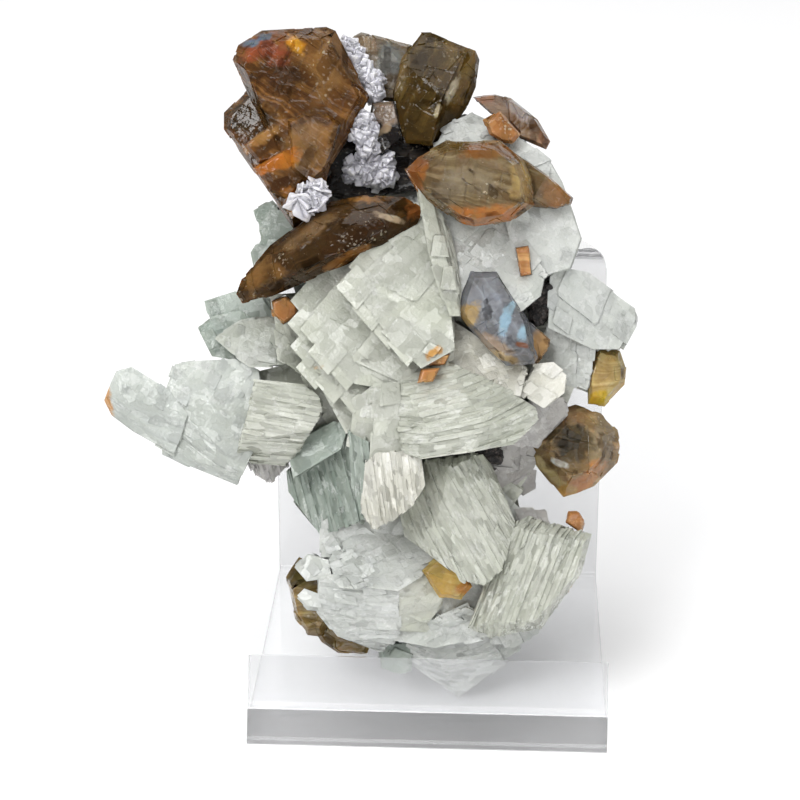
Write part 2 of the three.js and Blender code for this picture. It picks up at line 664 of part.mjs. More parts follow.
/** A closed shape through corners, each with its own rounding radius. */
function roundedShape(cornersWithRadius) {
  const points = [];
  const count = cornersWithRadius.length;
  cornersWithRadius.forEach(([corner, radius], index) => {
    if (radius === 0) {
      points.push(corner);
      return;
    }
    const before = cornersWithRadius[(index + count - 1) % count][0].clone().sub(corner).normalize();
    const after = cornersWithRadius[(index + 1) % count][0].clone().sub(corner).normalize();
    const half = Math.acos(before.dot(after)) / 2;
    const reach = radius / Math.tan(half);
    const start = corner.clone().addScaledVector(before, reach);
    const end = corner.clone().addScaledVector(after, reach);
    const curve = new THREE.QuadraticBezierCurve(start, corner, end);
    points.push(...curve.getPoints(ARC_STEPS));
  });
  return new THREE.Shape(points);
}

/** The bent sheet extruded across its width, before its panel corners are rounded. */
function standSolid(clearance) {
  const width = STAND_WIDTH + 2 * clearance;
  const geometry = new THREE.ExtrudeGeometry(standSection(clearance), {
    depth: width, bevelEnabled: false,
  });
  geometry.translate(0, 0, -width / 2);
  geometry.applyMatrix4(new THREE.Matrix4().makeBasis(
    new THREE.Vector3(0, 1, 0), new THREE.Vector3(0, 0, 1), new THREE.Vector3(1, 0, 0)));
  return geometry;
}

/** The outline that rounds the panel's two top corners, seen from the front. */
function cornerMask() {
  const half = STAND_WIDTH / 2;
  const top = SHEET + (PANEL_HEIGHT - SHEET) * Math.cos(PANEL_LEAN);
  const outline = roundedShape([
    [new THREE.Vector2(-half - 1, -1), 0], [new THREE.Vector2(half + 1, -1), 0],
    [new THREE.Vector2(half + 1, top - 2 * PANEL_CORNER), 0],
    [new THREE.Vector2(half, top - 2 * PANEL_CORNER), 0],
    [new THREE.Vector2(half, top + GAP), PANEL_CORNER],
    [new THREE.Vector2(-half, top + GAP), PANEL_CORNER],
    [new THREE.Vector2(-half, top - 2 * PANEL_CORNER), 0],
    [new THREE.Vector2(-half - 1, top - 2 * PANEL_CORNER), 0],
  ]);
  const geometry = new THREE.ExtrudeGeometry(outline, { depth: LARGE, bevelEnabled: false });
  geometry.rotateX(Math.PI / 2);
  geometry.translate(0, LARGE / 2, 0);
  return geometry;
}

/** A manifold solid as a three.js mesh. */
function meshOf(name, solid, color, roughness, extra = {}) {
  const { vertProperties, triVerts } = solid.getMesh();
  const geometry = new THREE.BufferGeometry();
  geometry.setAttribute('position', new THREE.BufferAttribute(vertProperties, 3));
  geometry.setIndex(new THREE.BufferAttribute(triVerts, 1));
  const material = new THREE.MeshStandardMaterial({
    color, roughness, metalness: 0, flatShading: true, ...extra,
  });
  const mesh = new THREE.Mesh(geometry, material);
  mesh.name = name;
  return mesh;
}

const BROWN = 0x7a5226;
const AMBER = 0xb98534;
const ORANGE_COLOUR = 0xc9742c;

// Crystals in the order in which they keep their full form; each later one is cut by the earlier
const CRYSTALS = [
  { name: 'white_rosette', pieces: ROSETTE, color: 0xe6e4e6, roughness: 0.5 },
  { name: 'heulandite_long', pieces: LONG, color: 0x5f3f1e, roughness: 0.3 },
  { name: 'heulandite_right_front', pieces: RIGHT_FRONT, color: 0x86683c, roughness: 0.3 },
  { name: 'heulandite_upper_left', pieces: UPPER_LEFT, color: BROWN, roughness: 0.3 },
  { name: 'heulandite_upper_right', pieces: UPPER_RIGHT, color: 0x5c4420, roughness: 0.3 },
  { name: 'heulandite_grey_blue', pieces: GREY_BLUE, color: 0x8e97a4, roughness: 0.2 },
  { name: 'heulandite_amber_lower', pieces: AMBER_LOWER, color: AMBER, roughness: 0.2 },
  { name: 'heulandite_amber_upper', pieces: AMBER_UPPER, color: AMBER, roughness: 0.25 },
  { name: 'heulandite_bottom_left', pieces: BOTTOM_LEFT, color: BROWN, roughness: 0.3 },
  { name: 'heulandite_bottom_centre', pieces: BOTTOM_CENTRE, color: AMBER, roughness: 0.3 },
  ...ORANGE.map((pieces, index) => ({
    name: `heulandite_orange_${index + 1}`, pieces, color: ORANGE_COLOUR, roughness: 0.4,
  })),
  { name: 'heulandite_right_back', pieces: RIGHT_BACK, color: 0x8a6a4a, roughness: 0.3 },
  { name: 'heulandite_smoky_centre', pieces: SMOKY_CENTRE, color: 0x4a4038, roughness: 0.35 },
  { name: 'heulandite_top_back', pieces: TOP_BACK, color: 0x7d6b55, roughness: 0.4 },
  ...DARK_ROCK.map((pieces, index) => ({
    name: `dark_rock_${index + 1}`, pieces, color: 0x2e2b2a, roughness: 0.8,
  })),
];

const specimen = new THREE.Group();
specimen.position.copy(SPECIMEN_PLACE);
specimen.rotation.set(-SPECIMEN_LEAN, 0, SPECIMEN_TURN, 'ZXY');
specimen.updateMatrixWorld(true);

const standRoom = solidOf(standSolid(GAP).applyMatrix4(specimen.matrixWorld.clone().invert()));

let taken = standRoom;
for (const { name, pieces, color, roughness } of CRYSTALS) {
  const forms = pieces.map(corners);
  const solid = mainBody(join(forms.map(hull)).subtract(taken));
  specimen.add(meshOf(name, solid, color, roughness));
  taken = taken.add(join(forms.map((form) => grownHull(form, GAP))));
}

WHITE_CLUSTERS.forEach((group, index) => {
  const solid = mainBody(cluster(group, index).subtract(taken));
  specimen.add(meshOf(`white_cluster_${index + 1}`, solid, 0xe9e7ea, 0.5));
  taken = taken.add(cluster(group, index, 2 * GAP));
});

const paleBody = mainBody(join([...PALE, ...CORE].map(platedBlock)).subtract(taken));
specimen.add(meshOf('pale_matrix', paleBody, 0xdfe3dc, 0.7));

const stand = solidOf(standSolid(0)).intersect(solidOf(cornerMask()));
const object = new THREE.Group();
object.add(meshOf('acrylic_stand', stand, 0xf2f5f7, 0.05, { transparent: true, opacity: 0.35 }));
object.add(specimen);

export default object;
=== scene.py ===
"""Looks of a heulandite specimen that leans in a clear acrylic stand.

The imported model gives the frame: every size here is in the model's millimetres, in the
specimen's own leaning frame, and is turned into the scene's metres in one place.
"""
import logging
import math
from dataclasses import dataclass
from enum import Enum
from typing import Any, Sequence

import bmesh
import bpy
from mathutils import Matrix, Vector


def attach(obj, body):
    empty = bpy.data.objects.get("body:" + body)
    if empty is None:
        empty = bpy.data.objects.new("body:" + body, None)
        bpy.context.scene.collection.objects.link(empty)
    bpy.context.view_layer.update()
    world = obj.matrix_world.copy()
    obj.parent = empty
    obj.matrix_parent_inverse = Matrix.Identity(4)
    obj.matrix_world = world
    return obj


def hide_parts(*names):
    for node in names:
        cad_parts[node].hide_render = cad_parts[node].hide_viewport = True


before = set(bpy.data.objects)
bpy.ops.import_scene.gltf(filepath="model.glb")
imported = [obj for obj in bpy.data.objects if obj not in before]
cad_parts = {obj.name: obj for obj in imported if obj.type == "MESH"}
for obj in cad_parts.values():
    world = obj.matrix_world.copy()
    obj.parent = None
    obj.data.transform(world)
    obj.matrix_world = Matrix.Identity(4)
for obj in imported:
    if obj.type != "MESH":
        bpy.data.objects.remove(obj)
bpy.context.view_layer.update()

LOG = logging.getLogger("heulandite")

MM = 0.001
ROOT = "root"
VIEW_DISTANCE = 313.5
SPECIMEN_PLACE = Vector((-4.7, 0.0, 42.8))
SPECIMEN_LEAN = math.radians(23.1)
SPECIMEN_TURN = math.radians(2.67)
SPECIMEN_FRAME = (
    Matrix.Translation(SPECIMEN_PLACE)
    @ Matrix.Rotation(SPECIMEN_TURN, 4, "Z")
    @ Matrix.Rotation(-SPECIMEN_LEAN, 4, "X")
)

# patterns, in repeats on a metre
PLATE_LAYERS = 2600.0
PLATE_FACETS = 520.0
FROST_FACETS = 1300.0
CRYSTAL_BANDS = 700.0
CRYSTAL_FACETS = 330.0
GLINT_CHIPS = 3400.0

# relief, in metres
LAYER_RELIEF = 0.00010
GRAIN_RELIEF = 0.00013
CLOUD_RELIEF = 0.0004
BAND_RELIEF = 0.0002
VEIN_RELIEF = 0.00004
ROCK_RELIEF = 0.0004

# tilt of a facet against its width
PLATE_TILT = 1.25
CRYSTAL_TILT = 0.4

# darker colour for the painted shade in layer seams and for each plate's random tone
PALE_TONE_AND_SHADE = (0.36, 0.37, 0.31)
FROST_WHITE = (0.70, 0.705, 0.69)
INNER_SHADE = (0.50, 0.46, 0.42)

FLAT_ANGLE = math.radians(1.5)
FLAT_BLOCK_ANGLE = math.radians(2)
SHARP_ANGLE = math.radians(50)
SAME_PLACE = 1e-6

Corner = tuple[float, ...]


def sight(x: float, z: float, y: float) -> Vector:
    """Place a point by how it is seen from the front.

    Args:
        x: Distance to the right on the specimen's middle plane, in millimetres.
        z: Distance up on the specimen's middle plane, in millimetres.
        y: Depth along the line of sight behind the middle plane, in millimetres.

    Returns:
        The point in the object's frame, in metres.
    """
    spread = 1.0 + y / VIEW_DISTANCE
    return SPECIMEN_FRAME @ Vector((x * spread, y, z * spread)) * MM


def in_object(direction: Sequence[float]) -> Vector:
    """Turn a direction (x, z, y) of the specimen's frame into the object's frame."""
    x, z, y = direction
    return (SPECIMEN_FRAME.to_3x3() @ Vector((x, y, z))).normalized()


class ShaderTree:
    """A material's node tree, written node by node."""

    def __init__(self, name: str) -> None:
        """Make an empty material with its output node.

        Args:
            name: The material's name.
        """
        self.material = bpy.data.materials.new(name)
        self.material.use_nodes = True
        self.tree = self.material.node_tree
        self.tree.nodes.clear()
        self.output = self.tree.nodes.new("ShaderNodeOutputMaterial")

    def node(self, kind: str, inputs: dict[Any, Any] | None = None, **settings: Any) -> Any:
        """Add a node.

        Args:
            kind: Blender's name for the node type.
            inputs: A value or another node's socket for each input, by name or index.
            **settings: Properties of the node itself.

        Returns:
            The node.
        """
        made = self.tree.nodes.new(kind)
        for name, value in settings.items():
            setattr(made, name, value)
        for key, value in (inputs or {}).items():
            if isinstance(value, bpy.types.NodeSocket):
                self.tree.links.new(value, made.inputs[key])
            else:
                made.inputs[key].default_value = value
        return made

    def coordinates(self) -> Any:
        """Return the object coordinates, in metres."""
        return self.node("ShaderNodeTexCoord").outputs["Object"]

    def attribute(self, name: str, output: str = "Fac") -> Any:
        """Return a named attribute of the mesh."""
        return self.node("ShaderNodeAttribute", attribute_name=name).outputs[output]

    def math(self, operation: str, first: Any, second: Any = 0.0, clamp: bool = False) -> Any:
        """Return the result of one math operation."""
        made = self.node("ShaderNodeMath", {0: first, 1: second}, operation=operation)
        made.use_clamp = clamp
        return made.outputs[0]

    def weighted(self, value: Any, weight: Any, rest: Any) -> Any:
        """Return a value times its weight, added to the rest."""
        return self.math("ADD", self.math("MULTIPLY", value, weight), rest)

    def vector(self, operation: str, first: Any, second: Any, output: Any = 0) -> Any:
        """Return one output of a vector operation."""
        made = self.node("ShaderNodeVectorMath", {0: first, 1: second}, operation=operation)
        return made.outputs[output]

    def layers(self, height: Any, scale: float, detail: float, rough: float) -> Any:
        """Add layers that lie across a height.

        Args:
            height: The height, in metres.
            scale: How many layers there are on a metre.
            detail: How many finer layers lie in them.
            rough: How strong the finer layers are.

        Returns:
            A value between 0 and 1.
        """
        return self.node("ShaderNodeTexNoise", {
            "W": height, "Scale": scale, "Detail": detail, "Roughness": rough},
            noise_dimensions="1D").outputs[0]

    def bump(self, height: Any, strength: float, distance: float = 1.0) -> Any:
        """Return the normal that a height gives."""
        return self.node("ShaderNodeBump", {
            "Strength": strength, "Distance": distance, "Height": height}).outputs[0]

    def noise(self, vector: Any, scale: float, detail: float = 3.0, rough: float = 0.5) -> Any:
        """Add a cloudy pattern.

        Args:
            vector: The coordinates.
            scale: How many clouds there are on a metre.
            detail: How many finer clouds lie in them.
            rough: How strong the finer clouds are.

        Returns:
            A value between 0 and 1.
        """
        made = self.node(
            "ShaderNodeTexNoise",
            {"Vector": vector, "Scale": scale, "Detail": detail, "Roughness": rough},
        )
        return made.outputs[0]

    def facets(self, position: Any, scale: float, distance: str) -> tuple[Any, Any]:
        """Add cells that are each tilted their own way, like tiny crystal faces.

        Args:
            position: The coordinates.
            scale: How many cells there are on a metre.
            distance: How the distance to a cell's middle is taken.

        Returns:
            The height, in metres, and each cell's own chance value.
        """
        cells = self.node("ShaderNodeTexVoronoi", {"Vector": position, "Scale": scale,
                                                   "Randomness": 0.85}, distance=distance)
        away = self.vector("SUBTRACT", position, cells.outputs["Position"])
        tilt = self.vector("SUBTRACT", cells.outputs["Color"], (0.5, 0.5, 0.5))
        height = self.along(away, tilt)
        own = self.node("ShaderNodeSeparateXYZ", {0: cells.outputs["Color"]}).outputs[0]
        return height, own

    def grade(self, value: Any, low: float, high: float) -> Any:
        """Stretch a value, smoothly and held between 0 and 1.

        Args:
            value: The value.
            low: What becomes 0.
            high: What becomes 1.

        Returns:
            The stretched value.
        """
        made = self.node(
            "ShaderNodeMapRange", {"Value": value, "From Min": low, "From Max": high}
        )
        made.interpolation_type = "SMOOTHSTEP"
        return made.outputs[0]

    def mix(self, factor: Any, first: Any, second: Any, blend: str = "MIX") -> Any:
        """Mix two colours.

        Args:
            factor: The second colour's share.
            first: The first colour.
            second: The second colour.
            blend: How the second colour is laid over the first.

        Returns:
            The mixed colour.
        """
        made = self.tree.nodes.new("ShaderNodeMix")
        made.data_type = "RGBA"
        made.blend_type = blend
        for index, value in ((0, factor), (6, first), (7, second)):
            if isinstance(value, bpy.types.NodeSocket):
                self.tree.links.new(value, made.inputs[index])
            elif index == 0:
                made.inputs[index].default_value = value
            else:
                made.inputs[index].default_value = (*value, 1.0)
        return made.outputs[2]

    def along(self, vector: Any, direction: Any) -> Any:
        """Return how far the vector reaches along a direction."""
        return self.vector("DOT_PRODUCT", vector, direction, "Value")

    def finish(self, shader: Any) -> bpy.types.Material:
        """Connect the shader to the output and return the material."""
        self.tree.links.new(shader, self.output.inputs["Surface"])
        return self.material


class GeometryTree:
    """A geometry node tree with named inputs, written node by node."""

    def __init__(self, name: str) -> None:
        """Make an empty tree that takes and gives geometry.

        Args:
            name: The tree's name.
        """
        self.tree = bpy.data.node_groups.new(name, "GeometryNodeTree")
        self.tree.interface.new_socket(
            "Geometry", in_out="INPUT", socket_type="NodeSocketGeometry"
        )
        self.tree.interface.new_socket(
            "Geometry", in_out="OUTPUT", socket_type="NodeSocketGeometry"
        )
        self.source = self.tree.nodes.new("NodeGroupInput")
        self.result = self.tree.nodes.new("NodeGroupOutput")

    def entry(self, name: str, kind: str) -> Any:
        """Add a named input and return its socket inside the tree."""
        self.tree.interface.new_socket(name, in_out="INPUT", socket_type=f"NodeSocket{kind}")
        return self.source.outputs[name]

    def node(self, kind: str, inputs: dict[Any, Any] | None = None, **settings: Any) -> Any:
        """Add a node.

        Args:
            kind: Blender's name for the node type.
            inputs: For each input, by name or index, a value, a socket, or several sockets.
            **settings: Properties of the node itself.

        Returns:
            The node.
        """
        made = self.tree.nodes.new(kind)
        for name, value in settings.items():
            setattr(made, name, value)
        for key, value in (inputs or {}).items():
            if isinstance(value, list):
                for socket in value:
                    self.tree.links.new(socket, made.inputs[key])
            elif isinstance(value, bpy.types.NodeSocket):
                self.tree.links.new(value, made.inputs[key])
            else:
                made.inputs[key].default_value = value
        return made

    def vector(self, operation: str, first: Any, second: Any) -> Any:
        """Return the vector result of one vector operation."""
        made = self.node("ShaderNodeVectorMath", {0: first, 1: second}, operation=operation)
        return made.outputs[0]

    def number(self, operation: str, first: Any, second: Any = 0.0) -> Any:
        """Return the result of one math operation."""
        return self.node("ShaderNodeMath", {0: first, 1: second}, operation=operation).outputs[0]

    def scaled(self, vector: Any, factor: Any) -> Any:
        """Return a vector times a number."""
        return self.node("ShaderNodeVectorMath", {0: vector, "Scale": factor},
                         operation="SCALE").outputs[0]

    def along(self, vector: Any, direction: Any) -> Any:
        """Return how far a vector reaches along a direction."""
        return self.node("ShaderNodeVectorMath", {0: vector, 1: direction},
                         operation="DOT_PRODUCT").outputs["Value"]

    def chance(self, low: float, high: float, seed: Any, key: int) -> Any:
        """Add a random number.

        Args:
            low: The lowest that it can be.
            high: The highest that it can be.
            seed: The tree's seed.
            key: What sets it apart from the tree's other numbers.

        Returns:
            The number.
        """
        own_seed = self.node("FunctionNodeIntegerMath", {0: seed, 1: key}, operation="ADD")
        return self.node("FunctionNodeRandomValue", {
            2: low, 3: high, "Seed": own_seed.outputs[0]}, data_type="FLOAT").outputs[1]

    def chance_vector(self, low: Any, high: Any, keys: dict[str, Any]) -> Any:
        """Return a random vector, set apart by its seed and by any other keys."""
        return self.node("FunctionNodeRandomValue", {0: low, 1: high, **keys},
                         data_type="FLOAT_VECTOR").outputs[0]

    def shape_of(self, thing: Any) -> Any:
        """Return the geometry of an object."""
        return self.node("GeometryNodeObjectInfo", {"Object": thing}).outputs["Geometry"]

    def realized(self, geometry: Any) -> Any:
        """Return instances turned into real geometry."""
        return self.node("GeometryNodeRealizeInstances", {"Geometry": geometry}).outputs[0]

    def common(self, first: Any, second: Any) -> Any:
        """Return what two solids share."""
        return self.node("GeometryNodeMeshBoolean", {1: [first, second]},
                         operation="INTERSECT", solver="MANIFOLD").outputs[0]

    def stored(self, geometry: Any, name: str, value: Any, kind: str) -> Any:
        """Return the geometry with a value kept on its points.

        Args:
            geometry: The geometry.
            name: The attribute's name.
            value: The value.
            kind: The value's data type.

        Returns:
            The geometry with the attribute.
        """
        return self.node("GeometryNodeStoreNamedAttribute", {
            "Geometry": geometry, "Name": name, "Value": value},
            data_type=kind, domain="POINT").outputs[0]

    def finish(self, geometry: Any, material: Any) -> None:
        """End the tree in Realize Instances and Set Material.

        Args:
            geometry: What the tree has made.
            material: What it is made of.
        """
        dressed = self.node("GeometryNodeSetMaterial", {
            "Geometry": self.realized(geometry), "Material": material})
        self.tree.links.new(dressed.outputs[0], self.result.inputs[0])

    def run(self, mesh: bpy.types.Mesh, values: dict[str, Any]) -> bpy.types.Mesh:
        """Run the tree on a mesh.

        Args:
            mesh: The mesh that the tree starts from.
            values: A value for each named input.

        Returns:
            The result as a plain mesh.
        """
        carrier = bpy.data.objects.new("carrier", mesh)
        bpy.context.scene.collection.objects.link(carrier)
        modifier = carrier.modifiers.new("tree", "NODES")
        modifier.node_group = self.tree
        for item in self.tree.interface.items_tree:
            if item.in_out == "INPUT" and item.name in values:
                modifier[item.identifier] = values[item.name]
        carrier.update_tag()
        depsgraph = bpy.context.evaluated_depsgraph_get()
        made = bpy.data.meshes.new_from_object(carrier.evaluated_get(depsgraph))
        bpy.data.objects.remove(carrier)
        return made


@dataclass(frozen=True)
class Patch:
    """A stretch of another colour, as seen from the front: an ellipse with a ragged edge.

    The place is x, z and depth, half is its half length and half width in millimetres, and
    angle turns its length up from the x axis, in degrees.
    """

    place: tuple[float, float, float]
    half: tuple[float, float]
    colour: tuple[float, float, float]
    angle: float = 0.0
    strength: float = 1.0
    through: float = 5.0

    def lay(self, tree: ShaderTree, position: Any, broken: Any, colour: Any) -> Any:
        """Lay the patch over a colour.

        Args:
            tree: The material's node tree.
            position: The object coordinates.
            broken: A noise value that breaks up the patch's edge.
            colour: The colour below.

        Returns:
            The colour with the patch on it.
        """
        slope = math.radians(self.angle)
        length = in_object((math.cos(slope), math.sin(slope), 0.0)) / (self.half[0] * MM)
        width = in_object((-math.sin(slope), math.cos(slope), 0.0)) / (self.half[1] * MM)
        depth = in_object((0.0, 0.0, 1.0)) / (self.through * MM)
        place = sight(*self.place)
        away = tree.vector("SUBTRACT", position, tuple(place))
        sides = [tree.math("ABSOLUTE", tree.along(away, tuple(axis)))
                 for axis in (length, width, depth)]
        square = tree.math("MAXIMUM", tree.math("MAXIMUM", sides[0], sides[1]), sides[2])
        spread = tree.node("ShaderNodeCombineXYZ", dict(enumerate(sides))).outputs[0]
        distance = tree.node("ShaderNodeVectorMath", {0: spread},
                             operation="LENGTH").outputs["Value"]
        rounded = tree.math("MULTIPLY", tree.math("ADD", distance, square), 0.5)
        edge = tree.weighted(broken, 0.75, rounded)
        share = tree.grade(edge, 1.5, 0.9)
        return tree.mix(tree.math("MULTIPLY", share, self.strength), colour, self.colour)


@dataclass(frozen=True)
class PaleFinish:
    """Translucent pale plates under a sugary bloom."""

    name: str
    slot: str
    light: tuple[float, float, float]
    tint: tuple[float, float, float]
    bloom: float = 0.5
    depth: float = 0.3
    relief: float = 0.45
    patches: tuple[Patch, ...] = ()

    def material(self) -> bpy.types.Material:
        """Return the procedural material."""
        tree = ShaderTree(self.name)
        position = tree.coordinates()
        grain = tree.attribute("grain", "Vector")
        edge = tree.attribute("edge", "Vector")
        height = tree.along(position, grain)
        warped = tree.weighted(tree.noise(position, 260.0, 1.0), 0.0009, height)
        seams = tree.layers(warped, PLATE_LAYERS, 2.0, 0.7)
        cross = tree.vector("CROSS_PRODUCT", grain, edge)
        laid = tree.node("ShaderNodeCombineXYZ", {
            0: tree.along(position, edge), 1: tree.along(position, cross),
            2: tree.math("MULTIPLY", height, 4.0)}).outputs[0]
        coarse, chance = tree.facets(laid, PLATE_FACETS, "CHEBYCHEV")
        fine_chance = tree.facets(laid, FROST_FACETS, "CHEBYCHEV")[1]
        cloud = tree.grade(tree.noise(position, 110.0, 3.0, 0.6), 0.35, 0.68)
        grains = tree.noise(position, 1900.0, 2.0, 0.65)
        dust = tree.grade(tree.noise(position, 420.0, 3.0, 0.7), 0.62 - 0.3 * self.bloom, 0.75)
        frost = tree.math("MULTIPLY", dust, tree.grade(
            tree.weighted(grains, 0.5, fine_chance), 0.55, 0.95))
        # painted shade: the layer seams are darkened as if shade fell into them; the same darker
        # colour also gives plates and facets their random tone
        seam_shade = tree.math("SUBTRACT", 1.0, tree.grade(seams, 0.3, 0.55))
        tone_and_seam_shade = tree.mix(0.55, self.tint, PALE_TONE_AND_SHADE)
        colour = tree.mix(cloud, self.light, self.tint)
        for where, share in ((seam_shade, 0.22), (tree.attribute("tone"), 0.35), (chance, 0.1)):
            colour = tree.mix(tree.math("MULTIPLY", where, share), colour, tone_and_seam_shade)
        colour = tree.mix(tree.math("MULTIPLY", frost, 0.4), colour, FROST_WHITE)
        broken = tree.grade(tree.noise(position, 420.0, 4.0, 0.6), 0.3, 0.7)
        for patch in self.patches:
            colour = patch.lay(tree, position, broken, colour)
        relief = tree.weighted(coarse, PLATE_TILT * self.relief, tree.weighted(
            seams, LAYER_RELIEF, tree.math("MULTIPLY", grains, GRAIN_RELIEF)))
        rough = tree.weighted(frost, 0.35, 0.2)
        shader = tree.node("ShaderNodeBsdfPrincipled", {
            "Base Color": colour, "Roughness": rough, "Normal": tree.bump(relief, 0.9),
            "IOR": 1.52, "Subsurface Weight": self.depth,
            "Subsurface Radius": (1.0, 1.0, 0.85), "Subsurface Scale": 0.0016,
        })
        return tree.finish(shader.outputs[0])


@dataclass(frozen=True)
class CrystalFinish:
    """Glassy crystal that light passes through, banded along its growth."""

    name: str
    slot: str
    dark: tuple[float, float, float]
    bright: tuple[float, float, float]
    banding: tuple[float, float, float] = (0.0, 1.0, 0.0)
    balance: float = 0.5
    banded: float = 0.5
    clear: float = 0.3
    glow: float = 0.3
    shine: float = 0.25
    roughness: float = 0.05
    sparkle: float = 0.5
    # colour of the flecks and of the painted glints
    fleck_and_glint: tuple[float, float, float] = (0.75, 0.62, 0.45)
    glinting: float = 0.6
    patches: tuple[Patch, ...] = ()

    def material(self) -> bpy.types.Material:
        """Return the procedural material."""
        tree = ShaderTree(self.name)
        position = tree.coordinates()
        height = tree.along(position, tuple(in_object(self.banding)))
        warped = tree.weighted(tree.noise(position, 150.0, 2.0), 0.0035, height)
        bands = tree.layers(warped, CRYSTAL_BANDS, 3.0, 0.65)
        cloud = tree.noise(position, 160.0, 4.0, 0.68)
        both = tree.weighted(bands, self.banded, tree.math("MULTIPLY", cloud, 1.0 - self.banded))
        share = tree.grade(both, 0.60 - 0.25 * self.balance, 0.78 - 0.25 * self.balance)
        colour = tree.mix(share, self.dark, self.bright)
        ragged = tree.noise(position, 800.0, 3.0, 0.7)
        broken = tree.grade(tree.noise(position, 320.0, 4.0, 0.6), 0.3, 0.7)
        for patch in self.patches:
            colour = patch.lay(tree, position, broken, colour)
        facets, chance = tree.facets(position, CRYSTAL_FACETS, "EUCLIDEAN")
        depths = tree.mix(tree.grade(tree.noise(position, 260.0, 4.0, 0.65), 0.36, 0.64),
                          INNER_SHADE, (1.0, 1.0, 1.0))
        colour = tree.mix(0.75, colour, depths, "MULTIPLY")
        colour = tree.mix(tree.math("MULTIPLY", chance, 0.35), colour,
                          tree.mix(0.5, self.bright, colour))
        flecks = tree.grade(tree.noise(position, 1500.0, 3.0, 0.8), 0.67, 0.74)
        colour = tree.mix(tree.math("MULTIPLY", flecks, 0.25), colour, self.fleck_and_glint)
        # painted glints: tiny bright specks that stand in for light caught by small facets
        glint_cells = tree.facets(position, GLINT_CHIPS, "EUCLIDEAN")[1]
        where = tree.grade(tree.noise(position, 170.0, 3.0), 0.54, 0.7)
        glints = tree.math("MULTIPLY", where, tree.grade(
            tree.weighted(ragged, 0.5, glint_cells), 1.12, 1.2))
        colour = tree.mix(tree.math("MULTIPLY", glints, self.glinting), colour, self.fleck_and_glint)
        veins = tree.math("ABSOLUTE", tree.math("SUBTRACT", tree.noise(
            position, 210.0, 2.0, 0.6), 0.5))
        relief = tree.math("MULTIPLY", tree.grade(veins, 0.0, 0.05), VEIN_RELIEF)
        relief = tree.weighted(bands, BAND_RELIEF * self.sparkle, relief)
        relief = tree.weighted(cloud, CLOUD_RELIEF, relief)
        relief = tree.weighted(facets, CRYSTAL_TILT * self.sparkle, relief)
        rough = tree.weighted(tree.grade(ragged, 0.5, 0.8), 0.3, self.roughness)
        shader = tree.node("ShaderNodeBsdfPrincipled", {
            "Base Color": colour, "Roughness": rough, "Normal": tree.bump(relief, 0.7),
            "IOR": 1.5, "Transmission Weight": self.clear, "Specular IOR Level": self.shine,
            "Subsurface Weight": self.glow, "Subsurface Radius": (1.0, 0.45, 0.15),
            "Subsurface Scale": 0.002,
        })
        return tree.finish(shader.outputs[0])


@dataclass(frozen=True)
class AcrylicFinish:
    """Clear cast sheet with polished faces."""

    name: str = "clear_acrylic"
    slot: str = "acrylic"

    def material(self) -> bpy.types.Material:
        """Return the procedural material."""
        tree = ShaderTree(self.name)
        position = tree.coordinates()
        wear = tree.grade(tree.noise(position, 60.0, 5.0, 0.7), 0.5, 0.9)
        shader = tree.node("ShaderNodeBsdfPrincipled", {
            "Base Color": (0.80, 0.803, 0.81, 1.0), "Roughness": tree.weighted(wear, 0.1, 0.08),
            "Normal": tree.bump(tree.noise(position, 25.0, 2.0), 0.15, 0.0002), "IOR": 1.49,
            "Transmission Weight": 0.88,
        })
        return tree.finish(shader.outputs[0])


@dataclass(frozen=True)
class RockFinish:
    """Dark, rough host rock."""

    name: str = "dark_rock"
    slot: str = "dark_rock"

    def material(self) -> bpy.types.Material:
        """Return the procedural material."""
        tree = ShaderTree(self.name)
        position = tree.coordinates()
        grains = tree.noise(position, 1500.0, 6.0, 0.7)
        colour = tree.mix(tree.grade(grains, 0.45, 0.7), (0.012, 0.011, 0.011),
                          (0.11, 0.09, 0.08))
        shader = tree.node("ShaderNodeBsdfPrincipled", {
            "Base Color": colour, "Roughness": 0.6,
            "Normal": tree.bump(grains, 1.0, ROCK_RELIEF),
        })
        return tree.finish(shader.outputs[0])


